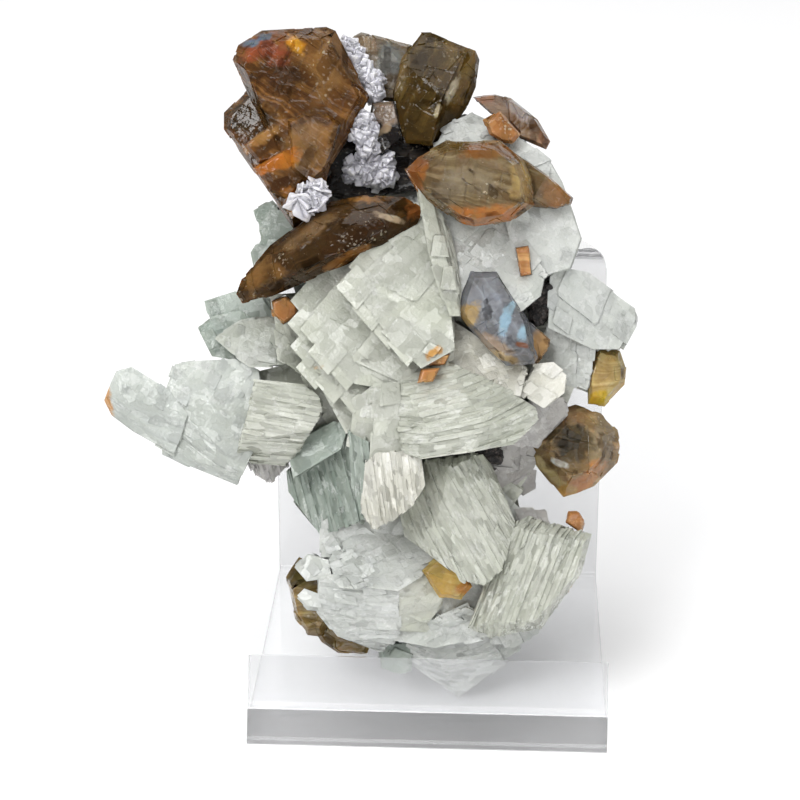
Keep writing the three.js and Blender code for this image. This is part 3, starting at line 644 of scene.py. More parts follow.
class Pale(Enum):
    """The looks that the pale plates have on this specimen; the shaded looks carry painted shade
    in their darker colours.
    """

    CREAM = PaleFinish("pale_cream", "pale_plates", (0.49, 0.50, 0.437), (0.405, 0.42, 0.352),
                       bloom=0.45, depth=0.25, patches=(
                           Patch((25.0, -26.0, -9.0), (3.2, 0.6), (0.46, 0.25, 0.09), 62.0),
                           Patch((22.3, -30.2, -8.5), (1.0, 0.6), (0.16, 0.08, 0.04), 50.0),
                           Patch((4.6, 6.6, -14.0), (1.4, 0.7), (0.50, 0.26, 0.07), 30.0),
                           Patch((-11.4, 4.6, -9.0), (1.0, 0.35), (0.32, 0.19, 0.07), 0.0),
                       ))
    # the plates' own blue-green, darkened as painted shade for blocks that lie back in shadow
    SHADED_TEAL = PaleFinish("pale_teal_shaded", "pale_plates", (0.30, 0.345, 0.305), (0.18, 0.225, 0.19),
                      bloom=0.3, depth=0.25)
    FROST = PaleFinish("pale_frost", "pale_plates", (0.525, 0.54, 0.516), (0.41, 0.43, 0.407),
                       bloom=0.65, depth=0.22)
    # the left arm's blue-white plates, darkened as painted shade to offset the strong key light
    # on the arm
    SHADED_ICE = PaleFinish("pale_ice_shaded", "pale_plates", (0.43, 0.458, 0.43), (0.34, 0.364, 0.338),
                     bloom=0.5, depth=0.25, patches=(
                         Patch((-41.4, 0.6, -6.5), (2.6, 0.7), (0.46, 0.24, 0.09), -75.0),
                         Patch((-38.0, -5.0, -5.5), (3.4, 0.6), (0.20, 0.19, 0.15), -30.0),
                     ))
    # a darker copy of the cream plates: painted shade
    SHADED_CREAM = PaleFinish("pale_cream_shaded", "pale_plates", (0.42, 0.435, 0.39), (0.30, 0.32, 0.275),
                     bloom=0.3, depth=0.3)
    CHALK = PaleFinish("pale_chalk", "pale_plates", (0.64, 0.63, 0.57), (0.52, 0.51, 0.44),
                       bloom=0.5, depth=0.22)
    LILAC = PaleFinish("pale_lilac", "pale_plates", (0.44, 0.425, 0.415), (0.30, 0.285, 0.27),
                       bloom=0.55, depth=0.25)


@dataclass(frozen=True)
class Block:
    """One pale block: a convex form, seen as an outline, that is stacked from plates.

    Outlines are in millimetres on the specimen's middle plane, x to the right and z up, and a
    corner's third value moves it back.
    """

    outline: tuple[Corner, ...]
    front: float
    thick: float
    lean: tuple[float, float] = (0.0, 0.0)
    grain: tuple[float, float, float] | None = None
    taper: float = 0.94
    look: Pale = Pale.CREAM
    pitch: float = 1.0
    edge: float = 45.0
    growth: float = 1.0
    span: float = 5.0
    proud: float = 0.2

    def middle(self) -> tuple[float, float]:
        """Return the middle of the outline's corners."""
        count = len(self.outline)
        return (sum(corner[0] for corner in self.outline) / count,
                sum(corner[1] for corner in self.outline) / count)

    def ring(self, depth: float, scale: float, follows_corners: bool) -> list[Vector]:
        """Lay the outline at a depth, scaled about its middle.

        Args:
            depth: Depth of the outline's plane at its middle, in millimetres.
            scale: Size of the ring against the outline.
            follows_corners: Whether each corner's own depth counts.

        Returns:
            The ring's corners in the object's frame, in metres.
        """
        middle_x, middle_z = self.middle()
        points = []
        for corner in self.outline:
            from_x = (corner[0] - middle_x) * scale
            from_z = (corner[1] - middle_z) * scale
            back = corner[2] if follows_corners and len(corner) > 2 else 0.0
            y = depth + self.lean[0] * from_x + self.lean[1] * from_z + back
            points.append(sight(middle_x + from_x, middle_z + from_z, y))
        return points

    def depth(self, x: float, z: float) -> float:
        """Return the depth of the block's front at a place, in millimetres."""
        middle_x, middle_z = self.middle()
        return self.front + self.lean[0] * (x - middle_x) + self.lean[1] * (z - middle_z)

    def fringe(self, places: tuple[tuple[float, float], ...], half: float = 1.8,
               back: float = 0.3) -> tuple["Block", ...]:
        """Return small plates that stand out along an edge like the teeth of a saw.

        Args:
            places: The middles of the plates, in millimetres.
            half: Half a plate's width.
            back: How far each plate lies behind the block's front.

        Returns:
            The plates as blocks.
        """
        return tuple(Block(
            ((x - half, z), (x, z + 1.15 * half), (x + half, z), (x, z - 1.15 * half)),
            front=self.depth(x, z) + back * (1.0 + index % 3), thick=1.8, lean=self.lean,
            look=self.look, pitch=0.6, edge=self.edge, growth=0.0,
        ) for index, (x, z) in enumerate(places))

    def hull(self) -> bpy.types.Mesh:
        """Return the block's convex form as a mesh."""
        shape = bmesh.new()
        front = self.ring(self.front, 1.0, True)
        back = self.ring(self.front + self.thick, self.taper, False)
        for point in front + back:
            shape.verts.new(point)
        made = bmesh.ops.convex_hull(shape, input=shape.verts)
        spare = [item for item in made["geom_unused"] + made["geom_interior"]
                 if isinstance(item, bmesh.types.BMVert)]
        bmesh.ops.delete(shape, geom=list(set(spare)), context="VERTS")
        bmesh.ops.dissolve_limit(
            shape, angle_limit=FLAT_BLOCK_ANGLE, verts=shape.verts, edges=shape.edges)
        bmesh.ops.recalc_face_normals(shape, faces=shape.faces)
        mesh = bpy.data.meshes.new("block")
        shape.to_mesh(mesh)
        shape.free()
        return mesh

    @staticmethod
    def grown(mesh: bpy.types.Mesh, by: float) -> bpy.types.Object:
        """Return a convex form as an object with each corner moved out.

        Args:
            mesh: The form.
            by: How far its faces move out, in metres.

        Returns:
            The larger form.
        """
        shape = bmesh.new()
        shape.from_mesh(mesh)
        for vertex in shape.verts:
            vertex.co += vertex.normal * by * vertex.calc_shell_factor()
        larger = bpy.data.meshes.new("grown_block")
        shape.to_mesh(larger)
        shape.free()
        return bpy.data.objects.new("grown_block", larger)

    def axes(self) -> Matrix:
        """Return the directions of the plates: along an edge, across it, and along the grain."""
        grain = in_object(self.grain or (-self.lean[0], -self.lean[1], 1.0))
        slope = math.radians(self.edge)
        edge = in_object((math.cos(slope), math.sin(slope), 0.0))
        edge = (edge - grain * edge.dot(grain)).normalized()
        return Matrix((edge, grain.cross(edge), grain)).transposed()


def rhomb(name: str, bevel: float = 0.06) -> bpy.types.Object:
    """Make the unit plate that all small crystals are copies of.

    Args:
        name: The object's name.
        bevel: Width of its bevelled edges against its width.

    Returns:
        A rhombic prism one wide, one long and one thick, centred on the origin.
    """
    skew = 0.12
    corners = [(-0.5 - skew, -0.5), (0.5 - skew, -0.5), (0.5 + skew, 0.5), (-0.5 + skew, 0.5)]
    shape = bmesh.new()
    lower = [shape.verts.new((x - skew / 2, y, -0.5)) for x, y in corners]
    upper = [shape.verts.new((x + skew / 2, y, 0.5)) for x, y in corners]
    shape.faces.new(lower[::-1])
    shape.faces.new(upper)
    for index in range(4):
        after = (index + 1) % 4
        shape.faces.new((lower[index], lower[after], upper[after], upper[index]))
    if bevel > 0:
        bmesh.ops.bevel(shape, geom=shape.edges[:], offset=bevel, segments=1, affect="EDGES")
    bmesh.ops.recalc_face_normals(shape, faces=shape.faces)
    mesh = bpy.data.meshes.new(name)
    shape.to_mesh(mesh)
    shape.free()
    return bpy.data.objects.new(name, mesh)


class PlateStack:
    """The tree that turns a convex form into stacked plates with parallel growths on them.

    A slab is wider than any block and fills nearly a whole pitch. Most growths are narrow, and
    each is turned a little, in radians.
    """

    SLAB = 0.2
    FILL = 0.995
    FEW_WIDE = 2.6
    NARROWEST = 0.15
    HALF_SIZE = 0.52
    TWIST = (0.06, 0.06, 0.09)

    def __init__(self) -> None:
        """Write the tree."""
        tree = GeometryTree("plate_stack")
        self.tree = tree
        form = tree.source.outputs["Geometry"]
        turn = tree.entry("Turn", "Vector")
        grain = tree.entry("Grain", "Vector")
        edge = tree.entry("Edge", "Vector")
        start = tree.entry("Start", "Vector")
        pitch = tree.entry("Pitch", "Float")
        count = tree.entry("Plates", "Int")
        density = tree.entry("Density", "Float")
        width = tree.entry("Growth Width", "Float")
        proud = tree.entry("Proud", "Float")
        slip = tree.entry("Slip", "Float")
        unit = tree.entry("Unit Plate", "Object")
        cutter = tree.entry("Cutter", "Object")
        bound = tree.entry("Bound", "Object")
        seed = tree.entry("Seed", "Int")
        material = tree.entry("Material", "Material")
        rotation = tree.node("FunctionNodeEulerToRotation", {0: turn}).outputs[0]

        slab_size = tree.node("ShaderNodeCombineXYZ", {
            0: self.SLAB, 1: self.SLAB, 2: tree.number("MULTIPLY", pitch, self.FILL)})
        slab = tree.node("GeometryNodeMeshCube", {"Size": slab_size.outputs[0]})
        line = tree.node("GeometryNodeMeshLine", {
            "Count": count, "Start Location": start, "Offset": tree.scaled(grain, pitch)},
            mode="OFFSET")
        slabs = tree.node("GeometryNodeInstanceOnPoints", {
            "Points": line.outputs[0], "Instance": slab.outputs[0], "Rotation": rotation})
        cut = tree.common(form, tree.realized(slabs.outputs[0]))
        island = tree.node("GeometryNodeInputMeshIsland").outputs[0]
        drift = tree.chance_vector((-1.0, -1.0, -1.0), (1.0, 1.0, 1.0),
                                   {"ID": island, "Seed": seed})
        rise = tree.scaled(grain, tree.along(drift, grain))
        plates = tree.node("GeometryNodeSetPosition", {
            "Geometry": cut, "Offset": tree.scaled(tree.vector("SUBTRACT", drift, rise), slip)})

        growths = self.growths(tree, form, rotation, pitch, density, width, proud, unit, seed)
        growths = tree.common(tree.realized(growths), tree.shape_of(bound))
        both = tree.node("GeometryNodeJoinGeometry", {0: [growths, plates.outputs[0]]})
        trimmed = tree.node("GeometryNodeMeshBoolean", {
            0: both.outputs[0], 1: [tree.shape_of(cutter)]},
            operation="DIFFERENCE", solver="MANIFOLD")
        tone = tree.node("FunctionNodeRandomValue", {
            "ID": tree.node("GeometryNodeInputMeshIsland").outputs[0], "Seed": seed},
            data_type="FLOAT").outputs[1]
        made = tree.stored(trimmed.outputs[0], "tone", tone, "FLOAT")
        made = tree.stored(made, "grain", grain, "FLOAT_VECTOR")
        made = tree.stored(made, "edge", edge, "FLOAT_VECTOR")
        tree.finish(made, material)

    @staticmethod
    def towards(tree: GeometryTree, normal: Any, rotation: Any,
                axis: tuple[float, float, float]) -> Any:
        """Find how far a plate's own axis points along the surface's normal.

        Args:
            tree: The tree.
            normal: The surface's normal.
            rotation: The plates' rotation.
            axis: The axis, before the rotation.

        Returns:
            The share, between 0 and 1.
        """
        own = tree.node("FunctionNodeRotateVector", {0: axis, 1: rotation}).outputs[0]
        return tree.number("ABSOLUTE", tree.along(normal, own))

    @classmethod
    def growths(cls, tree: GeometryTree, surface: Any, rotation: Any, pitch: Any,
                density: Any, width: Any, proud: Any, unit: Any, seed: Any) -> Any:
        """Lay small plates, parallel to the stack, into its surface.

        Args:
            tree: The tree.
            surface: The stack's outer form.
            rotation: The plates' rotation.
            pitch: The thickness of a plate.
            density: How many growths there are on a square metre.
            width: The width of the widest growth.
            proud: How far a growth may stand out.
            unit: The unit plate's object.
            seed: The seed of everything random.

        Returns:
            The growths' geometry, not yet realized.
        """
        points = tree.node("GeometryNodeDistributePointsOnFaces", {
            "Mesh": surface, "Density": density, "Seed": seed})
        normal = points.outputs["Normal"]
        share = tree.number("POWER", tree.chance(0.0, 1.0, seed, 11), cls.FEW_WIDE)
        share = tree.number("ADD", tree.number(
            "MULTIPLY", share, 1.0 - cls.NARROWEST), cls.NARROWEST)
        span = tree.number("MULTIPLY", share, width)
        long = tree.number("MULTIPLY", span, tree.chance(0.65, 1.5, seed, 12))
        thick = tree.number("MULTIPLY", pitch, tree.chance(0.25, 0.8, seed, 13))
        up, across, length = (
            tree.number("MULTIPLY", size, cls.towards(tree, normal, rotation, axis))
            for size, axis in ((thick, (0.0, 0.0, 1.0)), (span, (1.0, 0.0, 0.0)),
                               (long, (0.0, 1.0, 0.0))))
        reach = tree.number("MULTIPLY", tree.number(
            "ADD", up, tree.number("ADD", across, length)), cls.HALF_SIZE)
        rise = tree.number("MULTIPLY", proud, tree.chance(0.1, 1.0, seed, 14))
        sunk = tree.node("GeometryNodeSetPosition", {
            "Geometry": points.outputs["Points"],
            "Offset": tree.scaled(normal, tree.number("SUBTRACT", rise, reach))})
        size = tree.node("ShaderNodeCombineXYZ", {0: span, 1: long, 2: thick})
        twist = tree.chance_vector(tuple(-angle for angle in cls.TWIST), cls.TWIST,
                                   {"Seed": seed})
        twist = tree.node("FunctionNodeEulerToRotation", {0: twist}).outputs[0]
        turned = tree.node("FunctionNodeRotateRotation", {0: rotation, 1: twist})
        turned.rotation_space = "LOCAL"
        return tree.node("GeometryNodeInstanceOnPoints", {
            "Points": sunk.outputs[0], "Instance": tree.shape_of(unit),
            "Rotation": turned.outputs[0], "Scale": size.outputs[0]}).outputs[0]

    def build(self, block: Block, unit: bpy.types.Object, cutter: bpy.types.Object,
              material: bpy.types.Material, seed: int, sizes: "PaleSizes") -> bpy.types.Mesh:
        """Build one block.

        Args:
            block: The block.
            unit: The unit plate.
            cutter: What the pale mass leaves free.
            material: The block's material.
            seed: The block's own seed.
            sizes: The sizes that all blocks share.

        Returns:
            The block's plates as one mesh.
        """
        mesh = block.hull()
        axes = block.axes()
        grain = axes.col[2].normalized()
        heights = [vertex.co.dot(grain) for vertex in mesh.vertices]
        low, high = min(heights), max(heights)
        plates = max(2, round((high - low) / (block.pitch * MM)))
        pitch = (high - low) / plates
        middle = sum((vertex.co for vertex in mesh.vertices), Vector()) / len(mesh.vertices)
        start = middle + grain * (low + pitch / 2 - middle.dot(grain))
        return self.tree.run(mesh, {
            "Turn": tuple(axes.to_euler()), "Grain": tuple(grain), "Start": tuple(start),
            "Edge": tuple(axes.col[0].normalized()),
            "Pitch": pitch, "Plates": plates,
            "Density": sizes.density * block.growth, "Growth Width": block.span * MM,
            "Proud": block.proud * MM, "Slip": min(sizes.slip * MM, pitch * sizes.slip_share),
            "Bound": block.grown(mesh, sizes.overhang * MM),
            "Unit Plate": unit, "Cutter": cutter, "Seed": seed, "Material": material,
        })


@dataclass(frozen=True)
class PaleSizes:
    """Sizes that all pale blocks share, in millimetres, and the growths on a square metre."""

    slip: float = 0.2
    overhang: float = 0.35
    slip_share: float = 0.3
    density: float = 240000.0


STEPPED_FACE = (
    Block(
        ((-6.75, 15.75), (-2.25, 20.5), (3, 25.75), (4, 21), (7, 12.25), (7.5, 7.5), (3, 5),
         (-2.5, 10)),
        front=-12.6, thick=2.5, lean=(0.12, 0.26),
        look=Pale.CREAM, pitch=0.8, edge=48, growth=0.3, span=9, proud=0.07,
    ),
    Block(
        ((-12, 8.5), (-6.5, 14.75), (3, 26), (7, 12.5), (7.5, 6), (0, 1.5), (-6.5, 2.5),
         (-9.5, 6)),
        front=-11.3, thick=2.5, lean=(0.1, 0.24),
        look=Pale.CREAM, pitch=0.8, edge=48, growth=0.35, span=8, proud=0.08,
    ),
    Block(
        ((-13.25, 14.5), (-10, 18), (2.5, 28), (7, 12), (6.5, 4), (-5, 0), (-11.75, 4.5)),
        front=-9.8, thick=2.5, lean=(0.08, 0.22),
        look=Pale.CREAM, pitch=0.8, edge=48, growth=0.5, span=6, proud=0.12,
    ),
    Block(
        ((-12, 12), (-8, 20), (2, 28), (8, 10), (4, 2), (-7.5, -4.25), (-11.5, 3)),
        front=-8.2, thick=16, lean=(0.08, 0.2),
        look=Pale.CREAM, pitch=1.0, edge=48, growth=0.8, span=5.5, proud=0.12,
    ),
    Block(
        ((2.5, 30), (4.5, 28.5), (7, 24, 2), (9, 15, 2), (8.5, 12), (7, 12), (4, 21)),
        front=-13.2, thick=12, lean=(0.5, 0.1),
        look=Pale.CREAM, pitch=0.9, edge=72, growth=0.25, span=5, proud=0.1,
    ),
)

STEPPED_FACE += (
    *STEPPED_FACE[0].fringe(
        ((0.0, 23.8), (-2.4, 21.4), (-4.5, 18.8), (-6.2, 16.0), (-4.0, 13.0), (-1.6, 10.4),
         (1.0, 8.0)), 2.3, 0.25),
    *STEPPED_FACE[1].fringe(
        ((-7.4, 15.0), (-9.4, 12.6), (-11.3, 10.0), (-10.2, 6.8), (-7.6, 4.6)), 2.3, 0.2),
    *STEPPED_FACE[2].fringe(
        ((-8.4, 19.2), (-10.8, 16.8), (-12.8, 14.0), (-13.2, 10.8), (-12.8, 7.6),
         (-12.0, 4.6), (-9.4, 2.6), (-6.6, 1.2)), 2.2, 0.2),
)

RIGHT_MASS = (
    Block(
        ((14.75, 26), (21, 33.75), (22.75, 30.75), (25.5, 22.75), (24, 18.5), (20.5, 17.5),
         (16, 20.5)),
        front=-7.5, thick=12, lean=(0.25, 0.2),
        look=Pale.FROST, pitch=1.0, edge=62, growth=0.3, span=6, proud=0.1,
    ),
    Block(
        ((4.25, 28.5), (8.5, 26), (15, 26), (20.5, 18.25), (19.75, 14.75), (17, 12.5),
         (7.75, 14)),
        front=-9.5, thick=12, lean=(0.05, 0.3),
        look=Pale.FROST, pitch=0.9, edge=50, growth=0.7, span=5,
    ),
    Block(
        ((5, 36), (6.5, 39), (10, 40.5), (14.5, 38.5), (21, 34), (20, 29), (8, 30)),
        front=-5, thick=14, lean=(0.05, 0.6),
        look=Pale.FROST, pitch=0.9, edge=30, growth=1.3, span=3.4,
    ),
    Block(
        ((21.25, 17.25), (23, 18.25), (26.25, 17.75), (29.75, 15.25), (33.25, 12.75),
         (33.25, 11), (32, 9.25), (31, 7), (27.25, 7), (21, 10)),
        front=-5.5, thick=10, lean=(0.3, 0.12),
        look=Pale.FROST, pitch=1.1, edge=-35, growth=0.35, span=7, proud=0.1,
    ),
    Block(
        ((21, 10.5), (27.25, 8.5), (27, 4.5), (26.25, 1.5), (23.5, 2.5), (20, 4.5)),
        front=-4.5, thick=9, lean=(-0.15, -0.15),
        look=Pale.FROST, pitch=1.0, edge=-10, growth=0.8, span=5,
    ),
    Block(
        ((7, 11.5), (10, 8.5), (15, 5.5), (18, 4.5), (17, 0.5), (6, 3)),
        front=-10.5, thick=12, lean=(0, 0.55),
        look=Pale.CHALK, pitch=0.8, edge=20, growth=1.2, span=4,
    ),
    Block(
        ((16.75, 1), (19, 4.75), (21.5, 5), (23.25, 3.5), (23, 1), (20.5, -1)),
        front=-12, thick=9, lean=(-0.2, 0.4),
        look=Pale.CHALK, pitch=0.8, edge=40, growth=0.7, span=4,
    ),
)

LEFT_ARM = (
    Block(
        ((-41.75, 0, 2), (-41.25, 1.5), (-40, 4), (-38, 4.75), (-32.75, 1.5), (-30, -2),
         (-32, -7.5, 2), (-37.75, -4.25, 2), (-40.75, -2, 2)),
        front=-8, thick=6, lean=(-0.1, 0.25),
        look=Pale.SHADED_ICE, pitch=0.7, edge=-38, growth=0.6, span=4, proud=0.1,
    ),
    Block(
        ((-33.25, 1), (-31.75, 5), (-28.5, 5.5), (-23.25, 5.75), (-20, 4.25), (-19, -3),
         (-22.25, -10, 1), (-23, -12, 3), (-30, -8.5, 3), (-33.5, -7.75, 3)),
        front=-9, thick=8, lean=(-0.05, 0.3),
        look=Pale.SHADED_ICE, pitch=0.8, edge=-34, growth=0.6, span=4.5, proud=0.1,
    ),
    Block(
        ((-20.5, 3), (-13.5, 2.25), (-11.25, 0.25), (-11.25, -2), (-12.5, -4.25),
         (-14, -7, 4), (-16.25, -9.25, 6), (-21.75, -8.75, 5), (-23, -7.5, 3),
         (-22.5, -6, 1)),
        front=-12, thick=10, lean=(0.05, 0.2), grain=(0.15, 0.9, -0.35),
        look=Pale.CREAM, pitch=0.6, edge=15, growth=0.45, span=5, proud=0.12,
    ),
    Block(
        ((-21.75, -8), (-15, -8), (-17, -10.5), (-18.5, -11.5), (-20.5, -10.5)),
        front=-5, thick=5, lean=(0.1, -0.4), grain=(0.9, 0.3, 0.2),
        look=Pale.LILAC, pitch=0.6, edge=20, growth=1.2, span=4,
    ),
    Block(
        ((-20, 4), (-12, 6), (-6, 4), (-6, -4), (-12, -5), (-20, -5)),
        front=-5, thick=12,
        look=Pale.CREAM, pitch=1.4, edge=0, growth=0.2, span=4,
    ),
)

LEFT_PLATES = (
    Block(
        ((-27.25, 13.75), (-23.25, 15), (-18, 14), (-17.5, 9), (-26.5, 10.5)),
        front=-2.5, thick=6, lean=(-0.2, 0.35),
        look=Pale.SHADED_TEAL, pitch=1.1, edge=12, growth=0.6, span=6,
    ),
    Block(
        ((-28.25, 10.25), (-26.5, 11.5), (-22.5, 12.25), (-18, 10), (-20, 5.5), (-26.25, 6.5)),
        front=-4, thick=7, lean=(-0.2, 0.25),
        look=Pale.SHADED_TEAL, pitch=1.0, edge=15, growth=0.7, span=6,
    ),
    Block(
        ((-26, 8.75), (-22.5, 11), (-17.25, 12), (-14, 10), (-12.75, 7.5), (-16.25, 5),
         (-21, 5), (-23.75, 6.75)),
        front=-6.5, thick=8, lean=(-0.1, 0.5),
        look=Pale.SHADED_CREAM, pitch=0.8, edge=-18, growth=0.5, span=6, proud=0.1,
    ),
    Block(
        ((-18, 14.5), (-13.25, 15), (-8, 8), (-8, 3.5), (-14, 3.75), (-17, 6)),
        front=-7, thick=12, lean=(0.5, 0.2),
        look=Pale.CREAM, pitch=0.8, edge=48, growth=1.1, span=4.5,
    ),
    Block(
        ((-14.5, 5), (-9, 4), (-7, -2), (-9.5, -4), (-12, 0)),
        front=-7, thick=12, lean=(0.4, -0.2),
        look=Pale.CREAM, pitch=0.8, edge=50, growth=1.0, span=4.5,
    ),
    Block(
        ((-20.5, 26.75), (-18.25, 28), (-14, 23.5), (-12, 20), (-19, 22.25)),
        front=1.5, thick=8, lean=(-0.35, 0.2),
        look=Pale.SHADED_TEAL, pitch=1.2, edge=-12, growth=0.5, span=6,
    ),
    Block(
        ((-20.75, 20.75), (-19.5, 22.75), (-14, 22.5), (-12, 16), (-20.25, 18.5)),
        front=0.5, thick=9, lean=(-0.35, 0.1),
        look=Pale.SHADED_TEAL, pitch=1.2, edge=-10, growth=0.5, span=6,
    ),
)

CENTRE_BLOCK = (
    Block(
        ((-0.5, 3, 4.5), (6.5, 5.5, 5.5), (15, 1.75, 4.5), (19, -1, 4.5),
         (19.5, -2.75, 3.5), (16, -6.25, 2), (10, -7.25), (3, -8.25, 0.5),
         (0.25, -7.5, 1.5), (-0.5, -3.25, 3.5), (4, -4), (12, -3.5)),
        front=-17.5, thick=15, grain=(-0.18, 0.9, -0.35),
        look=Pale.CREAM, pitch=0.6, edge=-14, growth=0.4, span=5, proud=0.12,
    ),
    Block(
        ((-7.25, -6.25), (-6.5, 0), (-4, 2), (-3, 2.25), (-3, -8.5)),
        front=-13.5, thick=12, lean=(-0.45, 0),
        look=Pale.CREAM, pitch=0.6, edge=80, growth=0.7, span=5, proud=0.12,
    ),
    Block(
        ((-3.5, 2), (-0.5, 2.25), (0.25, -4.5), (-0.25, -9), (-4, -8.5)),
        front=-14.75, thick=12, lean=(0.2, 0.1),
        look=Pale.CREAM, pitch=0.5, edge=85, growth=0.8, span=5, proud=0.12,
    ),
    Block(
        ((-5, -9), (-3.5, -7.5), (0.75, -7), (3, -8.25), (3.5, -12), (1.75, -14.75),
         (-0.75, -16.75), (-3.75, -18.25, 2), (-5.5, -16, 1)),
        front=-17, thick=13, lean=(0.18, 0.15), grain=(0.95, 0.15, -0.2),
        look=Pale.CHALK, pitch=0.55, edge=20, growth=0.4, span=4.5, proud=0.12,
    ),
    Block(
        ((-7.25, -4.5), (-4, -6), (-4, -16), (-5.5, -16.25), (-7, -12)),
        front=-14, thick=12, lean=(-0.8, 0), grain=(0.95, 0.1, -0.2),
        look=Pale.SHADED_TEAL, pitch=0.5, edge=80, growth=0.7, span=5,
    ),
)

TEAL_BLOCK = (
    Block(
        ((-16, -10.5), (-15.75, -13), (-14, -14.5), (-11.25, -19), (-8.75, -18.25),
         (-5, -17), (-5, -9), (-7.5, -4.5), (-9.5, -5), (-14, -8)),
        front=-5.5, thick=13, lean=(-0.55, -0.1), grain=(0.9, 0.25, -0.2),
        look=Pale.SHADED_TEAL, pitch=0.6, edge=70, growth=0.6, span=6, proud=0.14,
    ),
    Block(
        ((-15.5, -7.25), (-14.75, -10.75), (-8.5, -7), (-7.5, -4), (-9.5, -3), (-14, -5.5)),
        front=-8.5, thick=5, lean=(-0.35, 0.3),
        look=Pale.SHADED_TEAL, pitch=0.9, edge=25, growth=0.5, span=6, proud=0.12,
    ),
)

LOWER_BLOCKS = (
    Block(
        ((3.75, -8.5, 3), (11.5, -7.5, 1), (12.75, -9, 2), (16.25, -17.25, 2),
         (14.5, -23.75), (12, -26.25), (9, -25.5), (0.5, -19, 3), (0, -16, 3.5), (7, -9.5),
         (5, -18)),
        front=-11.5, thick=15, grain=(0.8, 0.45, -0.3),
        look=Pale.CREAM, pitch=0.8, edge=45, growth=0.8, span=4.5, proud=0.24,
    ),
    Block(
        ((15.25, -17.75, 3), (18, -16.5, 3), (27, -19, 2), (25.5, -24.5, 2), (20, -32, 4),
         (12.75, -33.5, 4), (9.5, -32, 3.5), (12, -26.75, 3), (17.5, -18.5), (26, -20),
         (24.5, -25), (19, -31), (12.5, -31.5, 1)),
        front=-12, thick=16, grain=(0.9, -0.35, -0.25),
        look=Pale.CREAM, pitch=0.7, edge=68, growth=0.8, span=4.5, proud=0.22,
    ),
    Block(
        ((-11.5, -25), (-8.25, -24.5), (-3.75, -25), (-0.25, -26.25), (0, -32, 3),
         (-0.75, -33.75, 5), (-2.75, -35.5, 7.5), (-8.75, -33.25, 4.5), (-11.5, -29.75, 2)),
        front=-9.5, thick=15, lean=(-0.05, 0.1),
        look=Pale.FROST, pitch=0.6, edge=-15, growth=0.9, span=5,
    ),
    Block(
        ((-0.5, -26), (3, -23.75), (6, -28, 1), (4, -32.75, 3), (0, -32.5, 2.5)),
        front=-8.5, thick=14, lean=(0.3, 0),
        look=Pale.CREAM, pitch=0.7, edge=50, growth=0.8, span=4.5,
    ),
    Block(
        ((-8.75, -20.75), (-4.75, -17.5), (0.75, -19), (5.5, -22), (3, -25), (-0.25, -27),
         (-9, -26), (-10, -22.5)),
        front=-7.5, thick=14, lean=(0, 0.65),
        look=Pale.FROST, pitch=0.9, edge=30, growth=1.5, span=3, proud=0.34,
    ),
    Block(
        ((1.25, -34, 4), (4, -31, 1), (9.5, -28.5), (11.25, -33, 3), (14.75, -37, 6.5),
         (11.75, -39, 7.5), (8.25, -41.85, 8.8), (6, -40, 8), (1.25, -36.5, 6.5)),
        front=-7, thick=16,
        look=Pale.FROST, pitch=1.0, edge=45, growth=1.1, span=4.5, proud=0.26,
    ),
)

SMALL_CRYSTALS = (
    Block(
        ((12.5, -33.5), (16.25, -34.25), (16.75, -35.25), (15.5, -36), (12.75, -36)),
        front=-1.2, thick=5, lean=(0.2, -0.3),
        look=Pale.FROST, pitch=1.2, edge=30, growth=0.8, span=3,
    ),
    Block(
        ((13, -32.5), (20, -31.5), (19.5, -32.75), (16, -34.5), (13, -34.5)),
        front=-3, thick=6, lean=(0.3, -0.2),
        look=Pale.FROST, pitch=1.3, edge=20, growth=0.8, span=3,
    ),
    Block(
        ((-3, -34.5), (1.5, -34), (1.5, -38), (-1, -38.25), (-2.5, -37.5)),
        front=-0.5, thick=5, lean=(-0.3, -0.3),
        look=Pale.SHADED_TEAL, pitch=1.4, edge=60, growth=0.6, span=3,
    ),
    Block(
        ((15.5, -2), (19, 0), (23, 0.25), (23.5, -2), (19.25, -6.75), (16, -6)),
        front=-8.5, thick=9, lean=(0.25, -0.2),
        look=Pale.LILAC, pitch=1.3, edge=40, growth=0.7, span=4,
    ),
    Block(
        ((10, -6.5), (18, -5.5), (19.25, -7.5), (18.5, -9.5), (16.75, -10.5), (11, -9.5)),
        front=-5.5, thick=9, lean=(0.1, -0.5),
        look=Pale.LILAC, pitch=1.2, edge=-20, growth=0.8, span=3.5,
    ),
    Block(
        ((13, -9.5), (19, -10), (18.75, -12.25), (17, -13.25), (14, -13)),
        front=-4, thick=7, lean=(0.3, -0.4),
        look=Pale.LILAC, pitch=1.2, edge=30, growth=0.8, span=3,
    ),
    Block(
        ((16.25, -15.5), (20.5, -15.5), (21, -18), (16, -18)),
        front=-5.5, thick=6, lean=(0.1, 0.5),
        look=Pale.LILAC, pitch=1.2, edge=15, growth=1.0, span=3,
    ),
    Block(
        ((-14.75, -23.5), (-13, -21.75), (-10, -22.5), (-9.5, -25), (-13, -25.5)),
        front=-7.5, thick=8, lean=(-0.4, 0.3),
        look=Pale.FROST, pitch=1.2, edge=30, growth=0.7, span=2.5,
    ),
    Block(
        ((-14.5, -27.75), (-13.5, -26.75), (-11.5, -27.5), (-11, -29.5), (-13, -29.25)),
        front=-7, thick=5, lean=(-0.5, 0.1),
        look=Pale.FROST, pitch=1.2, edge=60, growth=0.7, span=2.5,
    ),
    Block(
        ((-11, -19.5), (-9.5, -18.75), (-8.25, -20), (-9, -22), (-11, -22)),
        front=-6, thick=6, lean=(-0.4, 0.3),
        look=Pale.FROST, pitch=1.2, edge=20, growth=0.7, span=2.5,
    ),
)

